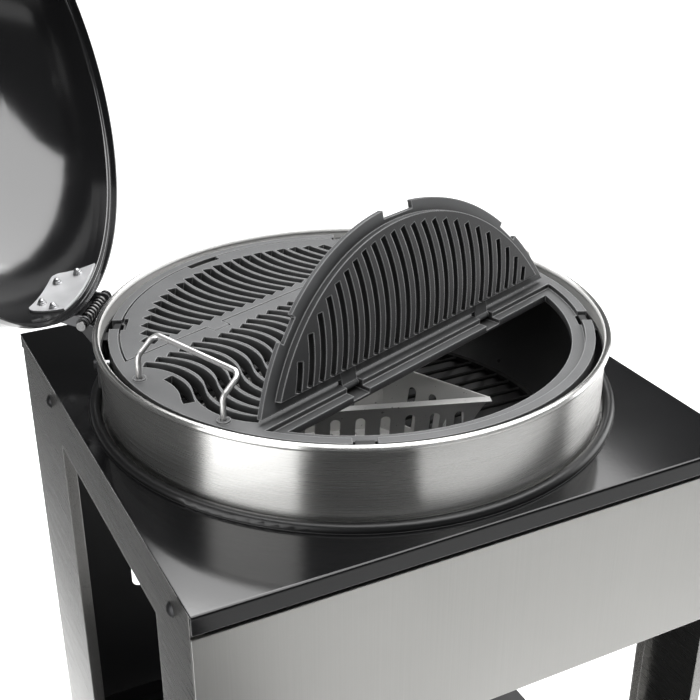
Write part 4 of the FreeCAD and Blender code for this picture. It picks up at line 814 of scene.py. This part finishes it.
gauge_rise = 42
dial_stand = 0.013
dial_sweep = 270
mark_count = 28
marks_per_group = 4
mark_ring = 0.0235
short_mark = 0.0022
long_mark = 0.0042
mark_width = 0.0005
mark_depth = 0.0002
needle_length = 0.0190
needle_root = 0.0013
needle_tip = 0.0003
needle_flatness = 0.3
needle_stand = 0.0010
needle_turn = -118
hub_radius = 0.0026
hub_top = 0.00208
hub_height = 0.0016
lens_radius = 0.0269
lens_stand = 0.0020
lens_crown = 0.0008
lens_wall = 0.0006
dial_face = on_shoulder(180, gauge_rise, dial_stand) @ Matrix.Rotation(math.radians(90), 4, "Y")
marks_black, marks_shader, marks_place = new_finish("marks_black", {"Specular IOR Level": 0.3})
marks_grain = noise(marks_place, 900.0)
feed(marks_shader, {
    "Base Color": blend_colours(marks_grain, (0.010, 0.010, 0.010), (0.024, 0.024, 0.024)),
    "Roughness": 0.45 + marks_grain * 0.2,
})
mark_mesh = bmesh.new()
for mark in range(mark_count + 1):
    long = mark % marks_per_group == 0
    length = long_mark if long else short_mark
    turn = Matrix.Rotation(math.radians(dial_sweep * (mark / mark_count - 0.5)), 4, "Z")
    place = Matrix.Translation((-mark_ring + length / 2, 0, mark_depth / 2))
    shape = Matrix.Diagonal((length, 2 * mark_width if long else mark_width, mark_depth, 1))
    bmesh.ops.create_cube(mark_mesh, size=1, matrix=dial_face @ turn @ place @ shape)
needle_spot = Matrix.Translation((0, 0, needle_stand)) @ Matrix.Rotation(math.radians(needle_turn), 4, "Z")
needle_flat = Matrix.Diagonal((1, 1, needle_flatness, 1))
needle_place = Matrix.Translation((-needle_length / 2 + needle_root, 0, 0))
needle_side = Matrix.Rotation(math.radians(-90), 4, "Y")
bmesh.ops.create_cone(
    mark_mesh, cap_ends=True, segments=12, radius1=needle_root, radius2=needle_tip, depth=needle_length,
    matrix=dial_face @ needle_spot @ needle_flat @ needle_place @ needle_side,
)
bmesh.ops.create_cone(
    mark_mesh, cap_ends=True, segments=28, radius1=hub_radius, radius2=hub_top, depth=hub_height,
    matrix=dial_face @ Matrix.Translation((0, 0, hub_height / 2)),
)
dial_marks = link_mesh("dial_marks", mark_mesh, marks_black)
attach(dial_marks, "lid")

lens_glass, lens_shader, lens_place = new_finish("lens_glass", {"Transmission Weight": 1.0, "IOR": 1.45})
lens_smear = noise(lens_place, 60.0, 3.0)
feed(lens_shader, {
    "Base Color": blend_colours(lens_smear, (0.97, 0.98, 0.98), (1.0, 1.0, 1.0)),
    "Roughness": 0.01 + lens_smear * 0.03,
})
lens_mesh = bmesh.new()
lens_line = [
    lens_mesh.verts.new((share * lens_radius, 0, lens_stand + lens_crown * (1 - share ** 2)))
    for share in (0, 0.25, 0.5, 0.75, 1)
]
for start, end in zip(lens_line, lens_line[1:]):
    lens_mesh.edges.new((start, end))
bmesh.ops.spin(
    lens_mesh, geom=lens_mesh.verts[:] + lens_mesh.edges[:], cent=(0, 0, 0), axis=(0, 0, 1),
    angle=2 * math.pi, steps=48, use_merge=True,
)
bmesh.ops.remove_doubles(lens_mesh, verts=lens_mesh.verts, dist=1e-6)
bmesh.ops.recalc_face_normals(lens_mesh, faces=lens_mesh.faces)
bmesh.ops.solidify(lens_mesh, geom=lens_mesh.faces[:], thickness=lens_wall)
bmesh.ops.transform(lens_mesh, matrix=dial_face, verts=lens_mesh.verts)
smooth_faces(lens_mesh, 180)
lens = link_mesh("gauge_lens", lens_mesh, lens_glass)
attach(lens, "lid")


# Lid vent: a dished sheet-metal damper that turns on a rivet over four holes in the crown.
# A nylon knob turns it.
dress(plated_steel, "vent_damper", "vent_rivet")
dress(nylon_black, "damper_knob")
